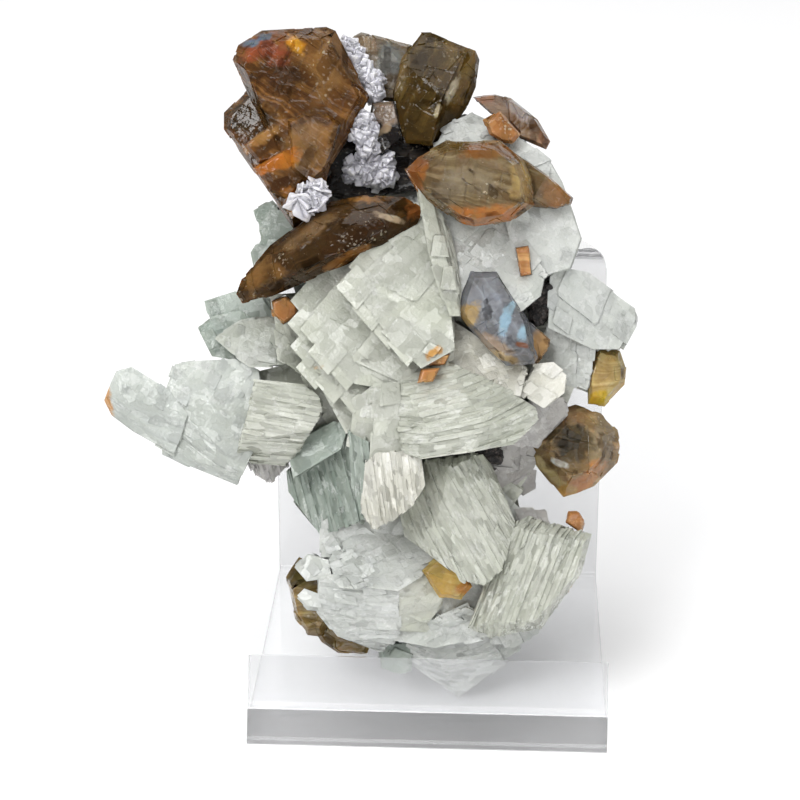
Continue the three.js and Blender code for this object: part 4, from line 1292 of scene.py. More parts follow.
BACK_PLATES = (
    Block(
        ((-15, 29), (-11, 36), (6, 36), (17, 37), (21, 30), (22, 18), (18, 9), (-12, 8),
         (-16, 20)),
        front=1.5, thick=11.5, taper=0.86,
        look=Pale.FROST, pitch=1.6, edge=20, growth=0.6, span=7,
    ),
    Block(
        ((-15, 9), (-8, 14), (16, 14), (26, 12), (25, 4), (20, -8), (14, -17), (-8, -17),
         (-13, -7)),
        front=-4, thick=15, taper=0.85,
        look=Pale.CREAM, pitch=1.6, edge=50, growth=0.6, span=7,
    ),
    Block(
        ((-11, -16), (0, -13), (14, -13), (20, -19), (19, -28), (14, -33), (5, -35),
         (-6, -33), (-11, -27)),
        front=-5, thick=14, taper=0.8,
        look=Pale.FROST, pitch=1.6, edge=35, growth=0.6, span=7,
    ),
    Block(
        ((-10, 22), (0, 31), (12, 29), (14, 18), (2, 10), (-9, 13)),
        front=10, thick=7.6, lean=(0.1, -0.2),
        look=Pale.CREAM, pitch=1.3, edge=40, growth=0.8, span=7,
    ),
    Block(
        ((8, 33), (15, 35), (20, 27), (18, 19), (9, 22)),
        front=8, thick=8.5, lean=(-0.3, -0.1),
        look=Pale.FROST, pitch=1.3, edge=65, growth=0.8, span=7,
    ),
    Block(
        ((-14, 17), (-6, 22), (-2, 12), (-7, 3), (-15, 7)),
        front=6, thick=8, lean=(0.35, 0),
        look=Pale.CREAM, pitch=1.3, edge=20, growth=0.8, span=7,
    ),
    Block(
        ((0, 8), (10, 13), (20, 7), (19, -5), (8, -9), (-1, -2)),
        front=8, thick=7, lean=(-0.15, 0.15),
        look=Pale.FROST, pitch=1.2, edge=10, growth=0.8, span=7,
    ),
    Block(
        ((-12, 2), (-3, 6), (3, -3), (-1, -13), (-10, -12)),
        front=6, thick=7, lean=(0.25, 0.1),
        look=Pale.CREAM, pitch=1.3, edge=75, growth=0.8, span=7,
    ),
    Block(
        ((-8, -14), (2, -12), (9, -19), (5, -29), (-6, -27)),
        front=5, thick=7, lean=(0.1, 0.3),
        look=Pale.FROST, pitch=1.3, edge=50, growth=0.8, span=7,
    ),
    Block(
        ((7, -10), (16, -13), (18, -23), (11, -30), (4, -22)),
        front=4, thick=8, lean=(-0.3, 0.2),
        look=Pale.CREAM, pitch=1.3, edge=30, growth=0.8, span=7,
    ),
)

REGIONS = {
    "stepped_face": STEPPED_FACE,
    "right_mass": RIGHT_MASS,
    "left_arm": LEFT_ARM,
    "left_plates": LEFT_PLATES,
    "centre_block": CENTRE_BLOCK,
    "teal_block": TEAL_BLOCK,
    "lower_blocks": LOWER_BLOCKS,
    "small_crystals": SMALL_CRYSTALS,
    "back_plates": BACK_PLATES,
}


def joined(name: str, meshes: list[bpy.types.Mesh]) -> bpy.types.Object:
    """Join meshes into one object at the origin.

    Args:
        name: The object's name.
        meshes: The meshes, with their materials.

    Returns:
        The object, linked to the scene.
    """
    parts = []
    for mesh in meshes:
        part = bpy.data.objects.new(name, mesh)
        bpy.context.scene.collection.objects.link(part)
        parts.append(part)
    if len(parts) > 1:
        with bpy.context.temp_override(
            active_object=parts[0], object=parts[0],
            selected_objects=parts, selected_editable_objects=parts,
        ):
            bpy.ops.object.join()
    whole = parts[0]
    whole.name = name
    whole.data.name = name
    while whole.data.materials[0] is None:
        whole.data.materials.pop(index=0)
    return whole


def finished(piece: bpy.types.Object, slot: str, *nodes: str) -> bpy.types.Object:
    """Attach a piece to the root, hide the model's nodes that it stands for, and log its faces.

    Args:
        piece: The piece, in place.
        slot: The record's material slot; not used.
        *nodes: The nodes of the model that the piece stands for.

    Returns:
        The piece.
    """
    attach(piece, ROOT)
    if nodes:
        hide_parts(*nodes)
    LOG.info("%s: %d faces", piece.name, len(piece.data.polygons))
    return piece


def node_copy(name: str) -> bmesh.types.BMesh:
    """Copy a node's mesh with its loose triangles merged.

    Args:
        name: The node's name.

    Returns:
        The copy.
    """
    shape = bmesh.new()
    shape.from_mesh(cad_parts[name].data)
    bmesh.ops.remove_doubles(shape, verts=shape.verts, dist=SAME_PLACE)
    bmesh.ops.dissolve_limit(
        shape, angle_limit=FLAT_ANGLE, verts=shape.verts, edges=shape.edges)
    return shape


def clearance_body(nodes: Sequence[str], margin: float) -> bpy.types.Object:
    """Join nodes, fattened by a margin, into the body that the pale mass leaves free.

    Args:
        nodes: The nodes' names.
        margin: The margin in metres.

    Returns:
        The body, not part of the scene.
    """
    whole = bpy.data.meshes.new("clearance")
    shape = bmesh.new()
    for name in nodes:
        part = bmesh.new()
        part.from_mesh(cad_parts[name].data)
        bmesh.ops.remove_doubles(part, verts=part.verts, dist=SAME_PLACE)
        part.normal_update()
        places = [vertex.co + vertex.normal * margin for vertex in part.verts]
        for vertex, place in zip(part.verts, places):
            vertex.co = place
        kept = bpy.data.meshes.new(name)
        part.to_mesh(kept)
        part.free()
        shape.from_mesh(kept)
    shape.to_mesh(whole)
    shape.free()
    return bpy.data.objects.new("clearance", whole)


@dataclass
class PaleMass:
    """The stacked pale plates that carry the crystals."""

    regions: dict[str, tuple[Block, ...]]
    sizes: PaleSizes = PaleSizes()
    margin: float = 0.1

    def build(self) -> list[bpy.types.Object]:
        """Build and finish one piece for each region.

        Returns:
            The pieces.
        """
        stack = PlateStack()
        unit = rhomb("unit_plate")
        others = [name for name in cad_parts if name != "pale_matrix"]
        cutter = clearance_body(others, self.margin * MM)
        materials = {look: look.value.material() for look in Pale}
        pieces = []
        seed = 0
        for region, blocks in self.regions.items():
            meshes = []
            for block in blocks:
                seed += 1
                meshes.append(stack.build(
                    block, unit, cutter, materials[block.look], seed, self.sizes))
            stands_for = ("pale_matrix",) if not pieces else ()
            pieces.append(finished(joined(f"pale_{region}", meshes), "pale_plates", *stands_for))
        return pieces


@dataclass(frozen=True)
class Crop:
    """How small crystals stand on a surface: how many on a square millimetre and how wide in
    millimetres, how thick against their width, how far turned about each axis in radians, and
    whether the surface stays.
    """

    density: float
    widths: tuple[float, float]
    thickness: float
    tilt: tuple[float, float, float]
    keep: bool = False


class Scatter:
    """The tree that grows small crystals, turned every way, on a surface."""

    def __init__(self) -> None:
        """Write the tree."""
        tree = GeometryTree("small_crystals")
        self.tree = tree
        surface = tree.source.outputs["Geometry"]
        density = tree.entry("Density", "Float")
        small = tree.entry("Smallest", "Float")
        large = tree.entry("Largest", "Float")
        flatness = tree.entry("Thickness", "Float")
        tilt = tree.entry("Tilt", "Vector")
        keep = tree.entry("Keep Surface", "Bool")
        unit = tree.entry("Unit Plate", "Object")
        seed = tree.entry("Seed", "Int")
        material = tree.entry("Material", "Material")
        points = tree.node("GeometryNodeDistributePointsOnFaces", {
            "Mesh": surface, "Density": density, "Seed": seed})
        size = tree.node("FunctionNodeRandomValue", {2: small, 3: large, "Seed": seed},
                         data_type="FLOAT").outputs[1]
        scale = tree.vector("MULTIPLY", tree.node(
            "ShaderNodeCombineXYZ", {0: 1.0, 1: 1.0, 2: flatness}).outputs[0], size)
        back = tree.vector("MULTIPLY", tilt, (-1.0, -1.0, -1.0))
        angles = tree.chance_vector(back, tilt, {"Seed": seed})
        local = tree.node("FunctionNodeEulerToRotation", {0: angles}).outputs[0]
        turned = tree.node("FunctionNodeRotateRotation", {
            0: points.outputs["Rotation"], 1: local})
        turned.rotation_space = "LOCAL"
        crystals = tree.node("GeometryNodeInstanceOnPoints", {
            "Points": points.outputs["Points"], "Instance": tree.shape_of(unit),
            "Rotation": turned.outputs[0], "Scale": scale})
        base = tree.node("GeometryNodeSwitch", {0: keep, 2: surface}, input_type="GEOMETRY")
        both = tree.node("GeometryNodeJoinGeometry", {0: [crystals.outputs[0], base.outputs[0]]})
        tree.finish(both.outputs[0], material)

    def grow(self, mesh: bpy.types.Mesh, unit: bpy.types.Object, material: bpy.types.Material,
             crop: Crop, seed: int) -> bpy.types.Mesh:
        """Grow crystals on a mesh.

        Args:
            mesh: The surface.
            unit: The unit plate.
            material: The crystals' material.
            crop: How the crystals stand.
            seed: The seed.

        Returns:
            The crystals as one mesh.
        """
        small, large = crop.widths
        return self.tree.run(mesh, {
            "Density": crop.density / MM**2, "Smallest": small * MM, "Largest": large * MM,
            "Thickness": crop.thickness, "Tilt": crop.tilt, "Keep Surface": crop.keep,
            "Unit Plate": unit, "Seed": seed, "Material": material,
        })


@dataclass
class WhiteCrystals:
    """The chains of small white crystals and the rosette of thin plates."""

    finish: PaleFinish = PaleFinish(
        "white_crystal", "white_crystal", (0.72, 0.715, 0.745), (0.62, 0.61, 0.65),
        bloom=0.3, depth=0.8)
    chain: Crop = Crop(1.7, (0.8, 1.4), 0.85, (1.2, 1.2, 3.1))
    rosette: Crop = Crop(1.3, (1.2, 2.6), 0.14, (0.75, 0.75, 3.1), keep=True)

    def build(self) -> list[bpy.types.Object]:
        """Build and finish the chains and the rosette.

        Returns:
            The pieces.
        """
        scatter = Scatter()
        unit = rhomb("small_crystal", 0.1)
        material = self.finish.material()
        pieces = []
        for index in (1, 2, 3):
            name = f"white_cluster_{index}"
            mesh = scatter.grow(self.surface(name), unit, material, self.chain, index)
            pieces.append(finished(joined(f"small_white_chain_{index}", [mesh]),
                                   self.finish.slot, name))
        mesh = scatter.grow(self.surface("white_rosette"), unit, material, self.rosette, 9)
        pieces.append(finished(joined("rosette_of_plates", [mesh]), self.finish.slot,
                               "white_rosette"))
        return pieces

    @staticmethod
    def surface(name: str) -> bpy.types.Mesh:
        """Take a node's merged mesh as the surface that crystals grow on.

        Args:
            name: The node's name.

        Returns:
            The mesh.
        """
        shape = node_copy(name)
        mesh = bpy.data.meshes.new(name)
        shape.to_mesh(mesh)
        shape.free()
        return mesh


class CrystalSkin:
    """The tree that lays thin growth terraces on a crystal's faces."""

    def __init__(self) -> None:
        """Write the tree."""
        tree = GeometryTree("growth_terraces")
        self.tree = tree
        solid = tree.source.outputs["Geometry"]
        density = tree.entry("Density", "Float")
        small = tree.entry("Smallest", "Vector")
        large = tree.entry("Largest", "Vector")
        edge = tree.entry("Edge", "Vector")
        sink = tree.entry("Sink", "Float")
        unit = tree.entry("Unit Plate", "Object")
        skin = tree.entry("Skin", "Object")
        seed = tree.entry("Seed", "Int")
        material = tree.entry("Material", "Material")
        points = tree.node("GeometryNodeDistributePointsOnFaces", {
            "Mesh": solid, "Density": density, "Seed": seed})
        upright = tree.node("FunctionNodeAlignRotationToVector", {
            "Vector": points.outputs["Normal"]}, axis="Z")
        aimed = tree.node("FunctionNodeAlignRotationToVector", {
            "Rotation": upright.outputs[0], "Vector": edge}, axis="X", pivot_axis="Z")
        size = tree.chance_vector(small, large, {"Seed": seed})
        height = tree.node("ShaderNodeSeparateXYZ", {0: size}).outputs[2]
        placed = tree.node("GeometryNodeSetPosition", {
            "Geometry": points.outputs["Points"], "Offset": tree.scaled(
                points.outputs["Normal"], tree.number("MULTIPLY", height, sink))})
        plates = tree.node("GeometryNodeInstanceOnPoints", {
            "Points": placed.outputs[0], "Instance": tree.shape_of(unit),
            "Rotation": aimed.outputs[0], "Scale": size})
        kept = tree.common(tree.realized(plates.outputs[0]), tree.shape_of(skin))
        both = tree.node("GeometryNodeJoinGeometry", {0: [kept, solid]})
        tree.finish(both.outputs[0], material)


@dataclass
class BrownCrystal:
    """One heulandite crystal: the model's solid with terraces and worn edges.

    Sizes are in millimetres. Terraces are counted on a square millimetre, and their breadth and
    sink are against their length and height.
    """

    node: str
    finish: CrystalFinish
    skin: CrystalSkin
    wear: float = 0.16
    terrace: float = 0.16
    terraces: float = 0.10
    spans: tuple[float, float] = (1.2, 6.0)
    breadth: float = 0.6
    heights: tuple[float, float] = (0.5, 1.0)
    sink: float = 0.3
    seed: int = 1

    def build(self) -> bpy.types.Object:
        """Build and finish the crystal.

        Returns:
            The piece.
        """
        shape = node_copy(self.node)
        bmesh.ops.bevel(shape, geom=shape.edges[:], offset=self.wear * MM, segments=2,
                        affect="EDGES", profile=0.6, clamp_overlap=True)
        bmesh.ops.triangulate(shape, faces=[face for face in shape.faces if len(face.verts) > 4])
        mesh = bpy.data.meshes.new(self.node)
        shape.to_mesh(mesh)
        shape.free()
        material = self.finish.material()
        small, large = (
            (span * MM, span * self.breadth * MM, height * MM)
            for span, height in zip(self.spans, self.heights))
        whole = self.skin.tree.run(mesh, {
            "Density": self.terraces / MM**2, "Smallest": small, "Largest": large,
            "Edge": tuple(in_object(self.finish.banding)), "Sink": -self.sink,
            "Unit Plate": rhomb("terrace", 0.03),
            "Skin": clearance_body([self.node], self.terrace * MM),
            "Seed": self.seed, "Material": material,
        })
        piece = joined(f"crystal_{self.node.removeprefix('heulandite_')}", [whole])
        return finished(piece, self.finish.slot, self.node)


@dataclass
class AcrylicStand:
    """The bent clear sheet that carries the specimen, in millimetres and degrees."""

    width: float = 50.0
    sheet: float = 3.0
    plate_depth: float = 48.4
    panel_height: float = 57.0
    panel_lean: float = 2.0
    panel_corner: float = 4.0
    lip_length: float = 13.0
    lip_lean: float = 27.0
    outer_bend: float = 2.2
    inner_bend: float = 1.0
    arc_steps: int = 12
    polish: float = 0.18
    lift: float = 0.03
    finish: AcrylicFinish = AcrylicFinish()

    @staticmethod
    def rounded(corners: Sequence[tuple[Vector, float]], steps: int) -> list[Vector]:
        """Round the corners of a closed outline.

        Args:
            corners: Each corner with its radius.
            steps: The number of steps in a rounded corner.

        Returns:
            The outline's points.
        """
        points = []
        for index, (corner, radius) in enumerate(corners):
            if radius == 0:
                points.append(corner)
                continue
            before = (corners[index - 1][0] - corner).normalized()
            after = (corners[(index + 1) % len(corners)][0] - corner).normalized()
            reach = radius / math.tan(before.angle(after) / 2)
            start, end = corner + before * reach, corner + after * reach
            for step in range(steps + 1):
                t = step / steps
                points.append(start * (1 - t) ** 2 + corner * (2 * t * (1 - t)) + end * t**2)
        return points

    def section(self) -> list[Vector]:
        """Return the bent sheet's section, depth across and height up."""
        lean, panel_lean = math.radians(self.lip_lean), math.radians(self.panel_lean)
        lip = Vector((math.sin(lean), math.cos(lean)))
        panel = Vector((math.sin(panel_lean), math.cos(panel_lean)))
        lip_root = Vector((-self.plate_depth / 2, self.lift))
        lip_top = lip_root + lip * self.lip_length
        lip_inner = lip_top + Vector((lip.y, -lip.x)) * self.sheet
        lip_foot = lip_inner + lip * ((self.sheet - lip_inner.y) / lip.y)
        panel_foot = Vector((self.plate_depth / 2, self.sheet))
        panel_inner = panel_foot + panel * (self.panel_height - self.sheet)
        panel_outer = panel_inner + Vector((panel.y, -panel.x)) * self.sheet
        outer_foot = panel_outer - panel * ((panel_outer.y - self.lift) / panel.y)
        return self.rounded([
            (lip_root, self.outer_bend / 2), (outer_foot, self.outer_bend), (panel_outer, 0.0),
            (panel_inner, 0.0), (panel_foot, self.inner_bend), (lip_foot, self.inner_bend),
            (lip_inner, 0.0), (lip_top, 0.0),
        ], self.arc_steps)

    def build(self) -> bpy.types.Object:
        """Build and finish the stand.

        Returns:
            The piece.
        """
        half = self.width / 2
        shape = bmesh.new()
        ends = []
        for side in (-half, half):
            ring = [shape.verts.new(Vector((side, point.x, point.y)) * MM)
                    for point in self.section()]
            ends.append(ring)
        shape.faces.new(ends[0])
        shape.faces.new(ends[1][::-1])
        count = len(ends[0])
        for index in range(count):
            after = (index + 1) % count
            shape.faces.new((ends[0][index], ends[1][index], ends[1][after], ends[0][after]))
        bmesh.ops.recalc_face_normals(shape, faces=shape.faces)
        self.round_panel(shape)
        sharp = [edge for edge in shape.edges if edge.calc_face_angle(0.0) > SHARP_ANGLE]
        bmesh.ops.bevel(shape, geom=sharp, offset=self.polish * MM, segments=2, affect="EDGES",
                        clamp_overlap=True)
        bmesh.ops.recalc_face_normals(shape, faces=shape.faces)
        if shape.calc_volume(signed=True) < 0:
            bmesh.ops.reverse_faces(shape, faces=shape.faces)
        mesh = bpy.data.meshes.new("stand")
        shape.to_mesh(mesh)
        shape.free()
        mesh.materials.append(self.finish.material())
        piece = finished(joined("clear_stand", [mesh]), self.finish.slot, "acrylic_stand")
        # a clear sheet lets the light through, so it throws no shadow
        piece.visible_shadow = False
        return piece

    def round_panel(self, shape: bmesh.types.BMesh) -> None:
        """Round the panel's two top corners.

        Args:
            shape: The stand.
        """
        top = max(vertex.co.z for vertex in shape.verts)
        high = [edge for edge in shape.edges if all(
            abs(abs(vertex.co.x) - self.width / 2 * MM) < SAME_PLACE
            and vertex.co.z > top - self.sheet * MM for vertex in edge.verts)]
        bmesh.ops.bevel(shape, geom=high, offset=self.panel_corner * MM,
                        segments=self.arc_steps, affect="EDGES", profile=0.5)


@dataclass
class DarkRock:
    """The bits of dark host rock."""

    finish: RockFinish = RockFinish()
    grit: Crop = Crop(3.0, (0.25, 1.0), 0.8, (3.1, 3.1, 3.1), keep=True)

    def build(self) -> list[bpy.types.Object]:
        """Build and finish the bits.

        Returns:
            The pieces.
        """
        scatter = Scatter()
        unit = rhomb("grit", 0.2)
        material = self.finish.material()
        pieces = []
        for index in (1, 2):
            name = f"dark_rock_{index}"
            mesh = scatter.grow(WhiteCrystals.surface(name), unit, material, self.grit, index)
            pieces.append(finished(joined(f"dark_bits_{index}", [mesh]), self.finish.slot, name))
        return pieces


@dataclass
class Studio:
    """The plain floor, the soft lights and the camera, in metres and watts."""

    camera_place: tuple[float, float, float] = (0.0087, -0.2880, 0.1658)
    camera_aim: tuple[float, float, float] = (-0.0429, 0.9188, -0.3923)
    lens: float = 100.0
    floor_size: float = 6.0
    floor_depth: float = 0.0001
    lights: tuple[tuple[str, tuple[float, float, float], float, float], ...] = (
        ("top", (-0.15, -0.1, 1.1), 1.2, 11.9),
        ("key", (-0.3, -0.55, 0.6), 0.3, 3.2),
        ("fill", (0.55, -0.6, 0.3), 0.5, 1.0),
        ("back", (0.0, 1.3, 0.5), 1.4, 4.0),
        ("low", (0.05, -0.75, 0.06), 0.4, 1.9),
    )
    lights_aim: tuple[float, float, float] = (0.0, 0.0, 0.045)
    surround: float = 0.3

    def build(self) -> None:
        """Build the studio."""
        self.camera()
        self.floor()
        for name, place, size, power in self.lights:
            self.area(name, place, size, power)
        world = bpy.data.worlds.new("studio")
        world.use_nodes = True
        back = world.node_tree.nodes["Background"]
        back.inputs["Color"].default_value = (1.0, 1.0, 1.0, 1.0)
        back.inputs["Strength"].default_value = self.surround
        bpy.context.scene.world = world
        bpy.context.scene.view_settings.view_transform = "Standard"

    def camera(self) -> None:
        """Place the camera at the photograph's angle."""
        data = bpy.data.cameras.new("camera")
        data.lens = self.lens
        data.clip_start = 0.01
        camera = bpy.data.objects.new("camera", data)
        camera.location = self.camera_place
        camera.rotation_euler = Vector(self.camera_aim).to_track_quat("-Z", "Y").to_euler()
        bpy.context.scene.collection.objects.link(camera)
        bpy.context.scene.camera = camera

    def floor(self) -> None:
        """Lay the plain pale floor."""
        half = self.floor_size / 2
        shape = bmesh.new()
        shape.faces.new([shape.verts.new((x, y, -self.floor_depth)) for x, y in (
            (-half, -half), (half, -half), (half, half), (-half, half))])
        mesh = bpy.data.meshes.new("floor")
        shape.to_mesh(mesh)
        shape.free()
        tree = ShaderTree("floor")
        shader = tree.node("ShaderNodeBsdfPrincipled", {
            "Base Color": (0.93, 0.93, 0.935, 1.0), "Roughness": 0.6})
        mesh.materials.append(tree.finish(shader.outputs[0]))
        joined("floor", [mesh])

    def area(self, name: str, place: tuple[float, float, float], size: float,
             power: float) -> None:
        """Hang a soft light that looks at the specimen.

        Args:
            name: The light's name.
            place: Its place in metres.
            size: Its width in metres.
            power: Its power in watts.
        """
        data = bpy.data.lights.new(name, "AREA")
        data.size = size
        data.energy = power
        light = bpy.data.objects.new(name, data)
        light.location = place
        aim = Vector(self.lights_aim) - Vector(place)
        light.rotation_euler = aim.to_track_quat("-Z", "Y").to_euler()
        bpy.context.scene.collection.objects.link(light)


BROWN = CrystalFinish(
    "brown_crystal", "brown_crystal", (0.10, 0.038, 0.008), (0.33, 0.15, 0.038),
    banding=(0.5, 0.85, 0.1), sparkle=0.7, patches=(
        Patch((-10.6, 47.6, -8.0), (3.4, 5.0), (0.30, 0.145, 0.045), 15.0, 0.8),
        Patch((-12.4, 35.2, -9.5), (3.4, 4.2), (0.33, 0.17, 0.055), 0.0, 0.8),
        Patch((-17.6, 45.6, -8.0), (4.6, 2.0), (0.050, 0.018, 0.004), -20.0),
        Patch((-21.6, 41.0, -6.5), (3.6, 3.4), (0.048, 0.027, 0.009)),
        Patch((-19.4, 36.9, -7.5), (2.8, 0.8), (0.42, 0.20, 0.06), 35.0),
        Patch((-19.5, 35.2, -7.5), (2.6, 0.7), (0.06, 0.022, 0.005), 30.0),
        Patch((-17.6, 33.3, -8.0), (4.6, 1.1), (0.60, 0.19, 0.02), 20.0),
        Patch((-16.8, 30.6, -8.0), (3.4, 0.9), (0.07, 0.025, 0.006), 25.0),
        Patch((-14.6, 27.8, -7.0), (2.4, 1.4), (0.42, 0.16, 0.03), -40.0),
        # The red-brown corner is partly weathering and partly painted iridescent sheen; the two
        # blue spots are painted iridescent sheen.
        Patch((-19.4, 49.5, -8.0), (3.4, 2.3), (0.30, 0.065, 0.026)),
        Patch((-21.2, 50.3, -7.5), (1.5, 0.9), (0.15, 0.21, 0.28)),
        Patch((-19.0, 51.1, -7.5), (1.2, 0.7), (0.10, 0.15, 0.21)),
        Patch((-14.5, 50.2, -8.5), (1.8, 1.1), (0.80, 0.34, 0.025), -30.0),
    ))
OLIVE = CrystalFinish(
    "olive_crystal", "olive_crystal", (0.060, 0.034, 0.007), (0.17, 0.105, 0.026),
    banding=(0.9, -0.35, 0.3), balance=0.45, shine=0.06, glinting=0.35,
    patches=(
        Patch((9.1, 46.3, -4.5), (4.6, 1.3), (0.21, 0.125, 0.03), 72.0),
        Patch((0.3, 46.0, -4.5), (4.2, 0.8), (0.19, 0.13, 0.055), 85.0, 0.7),
        # The two pale streaks are painted glints.
        Patch((7.5, 44.2, -5.5), (2.3, 0.5), (0.60, 0.50, 0.34), 62.0),
        Patch((5.2, 40.6, -5.5), (1.0, 0.45), (0.60, 0.48, 0.28), 65.0),
    ))
DARK_BROWN = CrystalFinish(
    "dark_brown_crystal", "dark_brown_crystal", (0.040, 0.020, 0.006), (0.125, 0.062, 0.019),
    banding=(0.5, -0.86, 0.1), balance=0.42, banded=0.6, sparkle=0.35, shine=0.05,
    glinting=0.35, patches=(
        Patch((-20.3, 17.4, -12.5), (3.6, 2.3), (0.23, 0.115, 0.035), 40.0),
        Patch((-13.1, 23.6, -12.5), (4.4, 1.4), (0.24, 0.14, 0.06), 40.0, 0.85),
        Patch((-6.6, 22.9, -14.0), (5.0, 2.0), (0.040, 0.016, 0.004), 25.0),
        Patch((-4.8, 28.6, -12.5), (2.8, 0.7), (0.36, 0.16, 0.035)),
        Patch((-1.5, 25.9, -14.0), (2.0, 0.45), (0.50, 0.38, 0.25), -15.0),
        Patch((-7.0, 20.3, -13.0), (4.2, 0.6), (0.30, 0.13, 0.03), 28.0),
        Patch((2.2, 26.9, -11.5), (1.3, 1.6), (0.46, 0.17, 0.045)),
    ))
GREY_BROWN = CrystalFinish(
    "grey_brown_crystal", "grey_brown_crystal", (0.16, 0.10, 0.045), (0.36, 0.26, 0.14),
    banding=(0.15, 1.0, 0.0), banded=0.6, patches=(
        Patch((9.8, 31.0, -15.5), (4.8, 3.0), (0.30, 0.23, 0.15), 0.0, 0.75),
        Patch((12.7, 35.2, -13.5), (4.2, 1.3), (0.28, 0.105, 0.018)),
        Patch((6.6, 35.4, -13.0), (2.6, 1.0), (0.15, 0.085, 0.02)),
        Patch((2.2, 31.4, -13.0), (3.6, 1.5), (0.32, 0.11, 0.024), 80.0),
        Patch((12.9, 26.2, -13.5), (5.6, 1.5), (0.48, 0.16, 0.032), 5.0),
        Patch((17.0, 30.8, -13.5), (3.0, 1.8), (0.50, 0.33, 0.13), 80.0, 0.9),
        Patch((21.6, 29.6, -8.0), (3.4, 2.4), (0.30, 0.13, 0.035)),
    ))
PALE_BROWN = CrystalFinish(
    "pale_brown_crystal", "grey_brown_crystal", (0.17, 0.085, 0.035), (0.36, 0.22, 0.13),
    patches=(
        # The pale grey-pink patch is a painted reflection.
        Patch((16.6, 41.0, -1.5), (2.4, 1.0), (0.42, 0.36, 0.34), -40.0, 0.8),
        Patch((11.5, 42.6, -1.0), (2.6, 0.9), (0.34, 0.13, 0.05), 0.0),
        Patch((20.3, 36.6, -1.0), (1.6, 1.0), (0.40, 0.17, 0.06), 60.0),
    ))
# Its blue-grey is partly the crystal's own grey and partly a painted pearly sheen.
GREY_BLUE = CrystalFinish(
    "grey_blue_crystal", "grey_blue_crystal", (0.175, 0.18, 0.195), (0.27, 0.285, 0.31),
    banding=(0.8, 0.5, 0.0), clear=0.2, glow=0.1, roughness=0.03, sparkle=0.2, glinting=0.0,
    patches=(
        Patch((20.0, 7.8, -8.0), (3.6, 1.5), (0.48, 0.28, 0.11), 75.0),
        Patch((13.0, 7.9, -13.5), (3.2, 1.2), (0.33, 0.25, 0.18), -38.0),
        Patch((9.3, 12.0, -13.5), (2.0, 1.7), (0.42, 0.27, 0.08)),
        # The three pale blue patches are painted iridescent sheen.
        Patch((14.8, 10.9, -14.0), (2.0, 0.9), (0.30, 0.47, 0.58), 78.0, 0.85),
        Patch((17.2, 9.8, -13.0), (1.5, 0.8), (0.33, 0.50, 0.60), 78.0, 0.85),
        Patch((15.7, 13.2, -13.5), (1.0, 0.5), (0.32, 0.46, 0.55), 60.0),
        Patch((17.0, 7.8, -13.0), (0.9, 0.35), (0.24, 0.085, 0.03), -10.0),
        Patch((15.4, 5.7, -13.0), (2.6, 0.6), (0.40, 0.28, 0.13), -18.0),
    ))
AMBER = CrystalFinish(
    "amber_crystal", "amber_crystal", (0.46, 0.31, 0.10), (0.74, 0.56, 0.25),
    balance=0.6, clear=0.3, patches=(
        Patch((27.9, 0.2, -3.5), (1.8, 1.1), (0.70, 0.46, 0.035), 20.0),
    ))
SMOKY_AMBER = CrystalFinish(
    "smoky_amber_crystal", "amber_crystal", (0.24, 0.155, 0.07), (0.62, 0.42, 0.22),
    balance=0.5, clear=0.3, sparkle=0.7, patches=(
        Patch((24.8, -2.2, -6.5), (2.4, 1.3), (0.42, 0.24, 0.12)),
        Patch((28.6, -5.0, -6.5), (3.8, 1.7), (0.34, 0.25, 0.15), 75.0),
        # The near-black patch is partly the crystal's dark core and partly painted shade in the
        # hollow of its front face.
        Patch((24.0, -6.2, -7.5), (3.0, 2.8), (0.050, 0.037, 0.017), 30.0),
        Patch((26.4, -11.0, -6.5), (3.4, 1.6), (0.58, 0.21, 0.045), 35.0),
        Patch((21.3, -10.4, -6.5), (4.0, 0.9), (0.58, 0.45, 0.22), -47.0),
        Patch((23.3, -12.8, -6.5), (1.5, 1.0), (0.60, 0.34, 0.09)),
        # The small near-white patch is a painted glint.
        Patch((22.5, -8.9, -7.5), (1.5, 0.5), (0.75, 0.72, 0.66), -22.0),
    ))
HONEY = CrystalFinish(
    "honey_crystal", "amber_crystal", (0.52, 0.34, 0.09), (0.78, 0.58, 0.22), balance=0.6,
    patches=(Patch((9.2, -26.2, -10.5), (1.4, 0.9), (0.60, 0.24, 0.04), 60.0),))
BRONZE = CrystalFinish(
    "bronze_crystal", "brown_crystal", (0.19, 0.12, 0.035), (0.46, 0.33, 0.13),
    patches=(Patch((-13.6, -24.8, -3.5), (2.6, 1.2), (0.16, 0.12, 0.03), 30.0),))
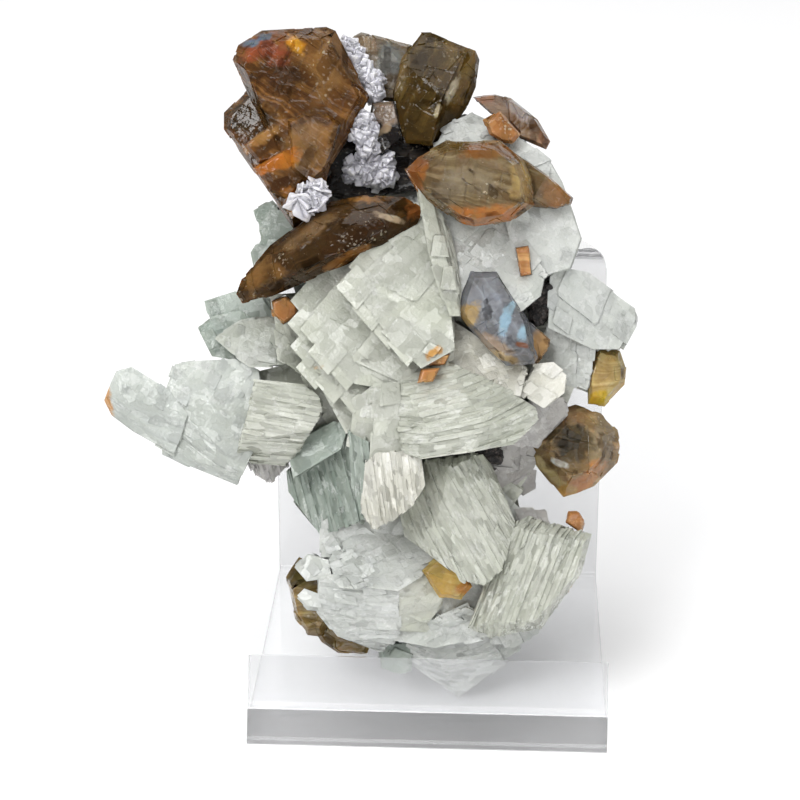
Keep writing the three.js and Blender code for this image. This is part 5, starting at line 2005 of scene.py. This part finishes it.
# Near black: partly the smoky crystal's own colour and partly painted shade, as the piece also
# fills the dark gap between the upper crystals.
SMOKY_AND_GAP_SHADE = CrystalFinish(
    "smoky_crystal", "smoky_crystal", (0.014, 0.011, 0.010), (0.075, 0.058, 0.046),
    balance=0.42, sparkle=0.6, patches=(
        Patch((-1.4, 40.6, -3.5), (2.6, 1.9), (0.25, 0.175, 0.12)),
        Patch((-2.5, 38.0, -3.5), (1.6, 0.6), (0.36, 0.26, 0.17), 40.0),
    ))
DUSTY = CrystalFinish(
    "dusty_crystal", "smoky_crystal", (0.17, 0.12, 0.07), (0.33, 0.26, 0.18),
    clear=0.25, roughness=0.2, patches=(
        Patch((-6.0, 50.2, 1.5), (3.2, 1.4), (0.30, 0.19, 0.10)),
        Patch((-1.4, 48.4, 1.5), (2.2, 2.6), (0.28, 0.29, 0.28)),
    ))
ORANGE = CrystalFinish(
    "orange_crystal", "orange_crystal", (0.46, 0.20, 0.065), (0.74, 0.45, 0.20),
    clear=0.25, roughness=0.15)

CRYSTALS = {
    "upper_left": BROWN, "upper_right": OLIVE, "long": DARK_BROWN, "right_front": GREY_BROWN,
    "right_back": PALE_BROWN, "grey_blue": GREY_BLUE, "amber_upper": AMBER,
    "amber_lower": SMOKY_AMBER, "bottom_left": BRONZE, "bottom_centre": HONEY,
    "top_back": DUSTY, "smoky_centre": SMOKY_AND_GAP_SHADE,
}
ORANGE_CRYSTALS = 6


def main() -> None:
    """Build every sub-assembly in order."""
    logging.basicConfig(level=logging.INFO, format="%(name)s %(message)s")
    Studio().build()
    AcrylicStand().build()
    PaleMass(REGIONS).build()
    skin = CrystalSkin()
    for seed, (name, finish) in enumerate(CRYSTALS.items()):
        BrownCrystal(f"heulandite_{name}", finish, skin, seed=seed).build()
    for index in range(ORANGE_CRYSTALS):
        BrownCrystal(f"heulandite_orange_{index + 1}", ORANGE, skin, spans=(0.8, 2.5),
                     seed=index).build()
    WhiteCrystals().build()
    DarkRock().build()


if __name__ == "__main__":
    main()
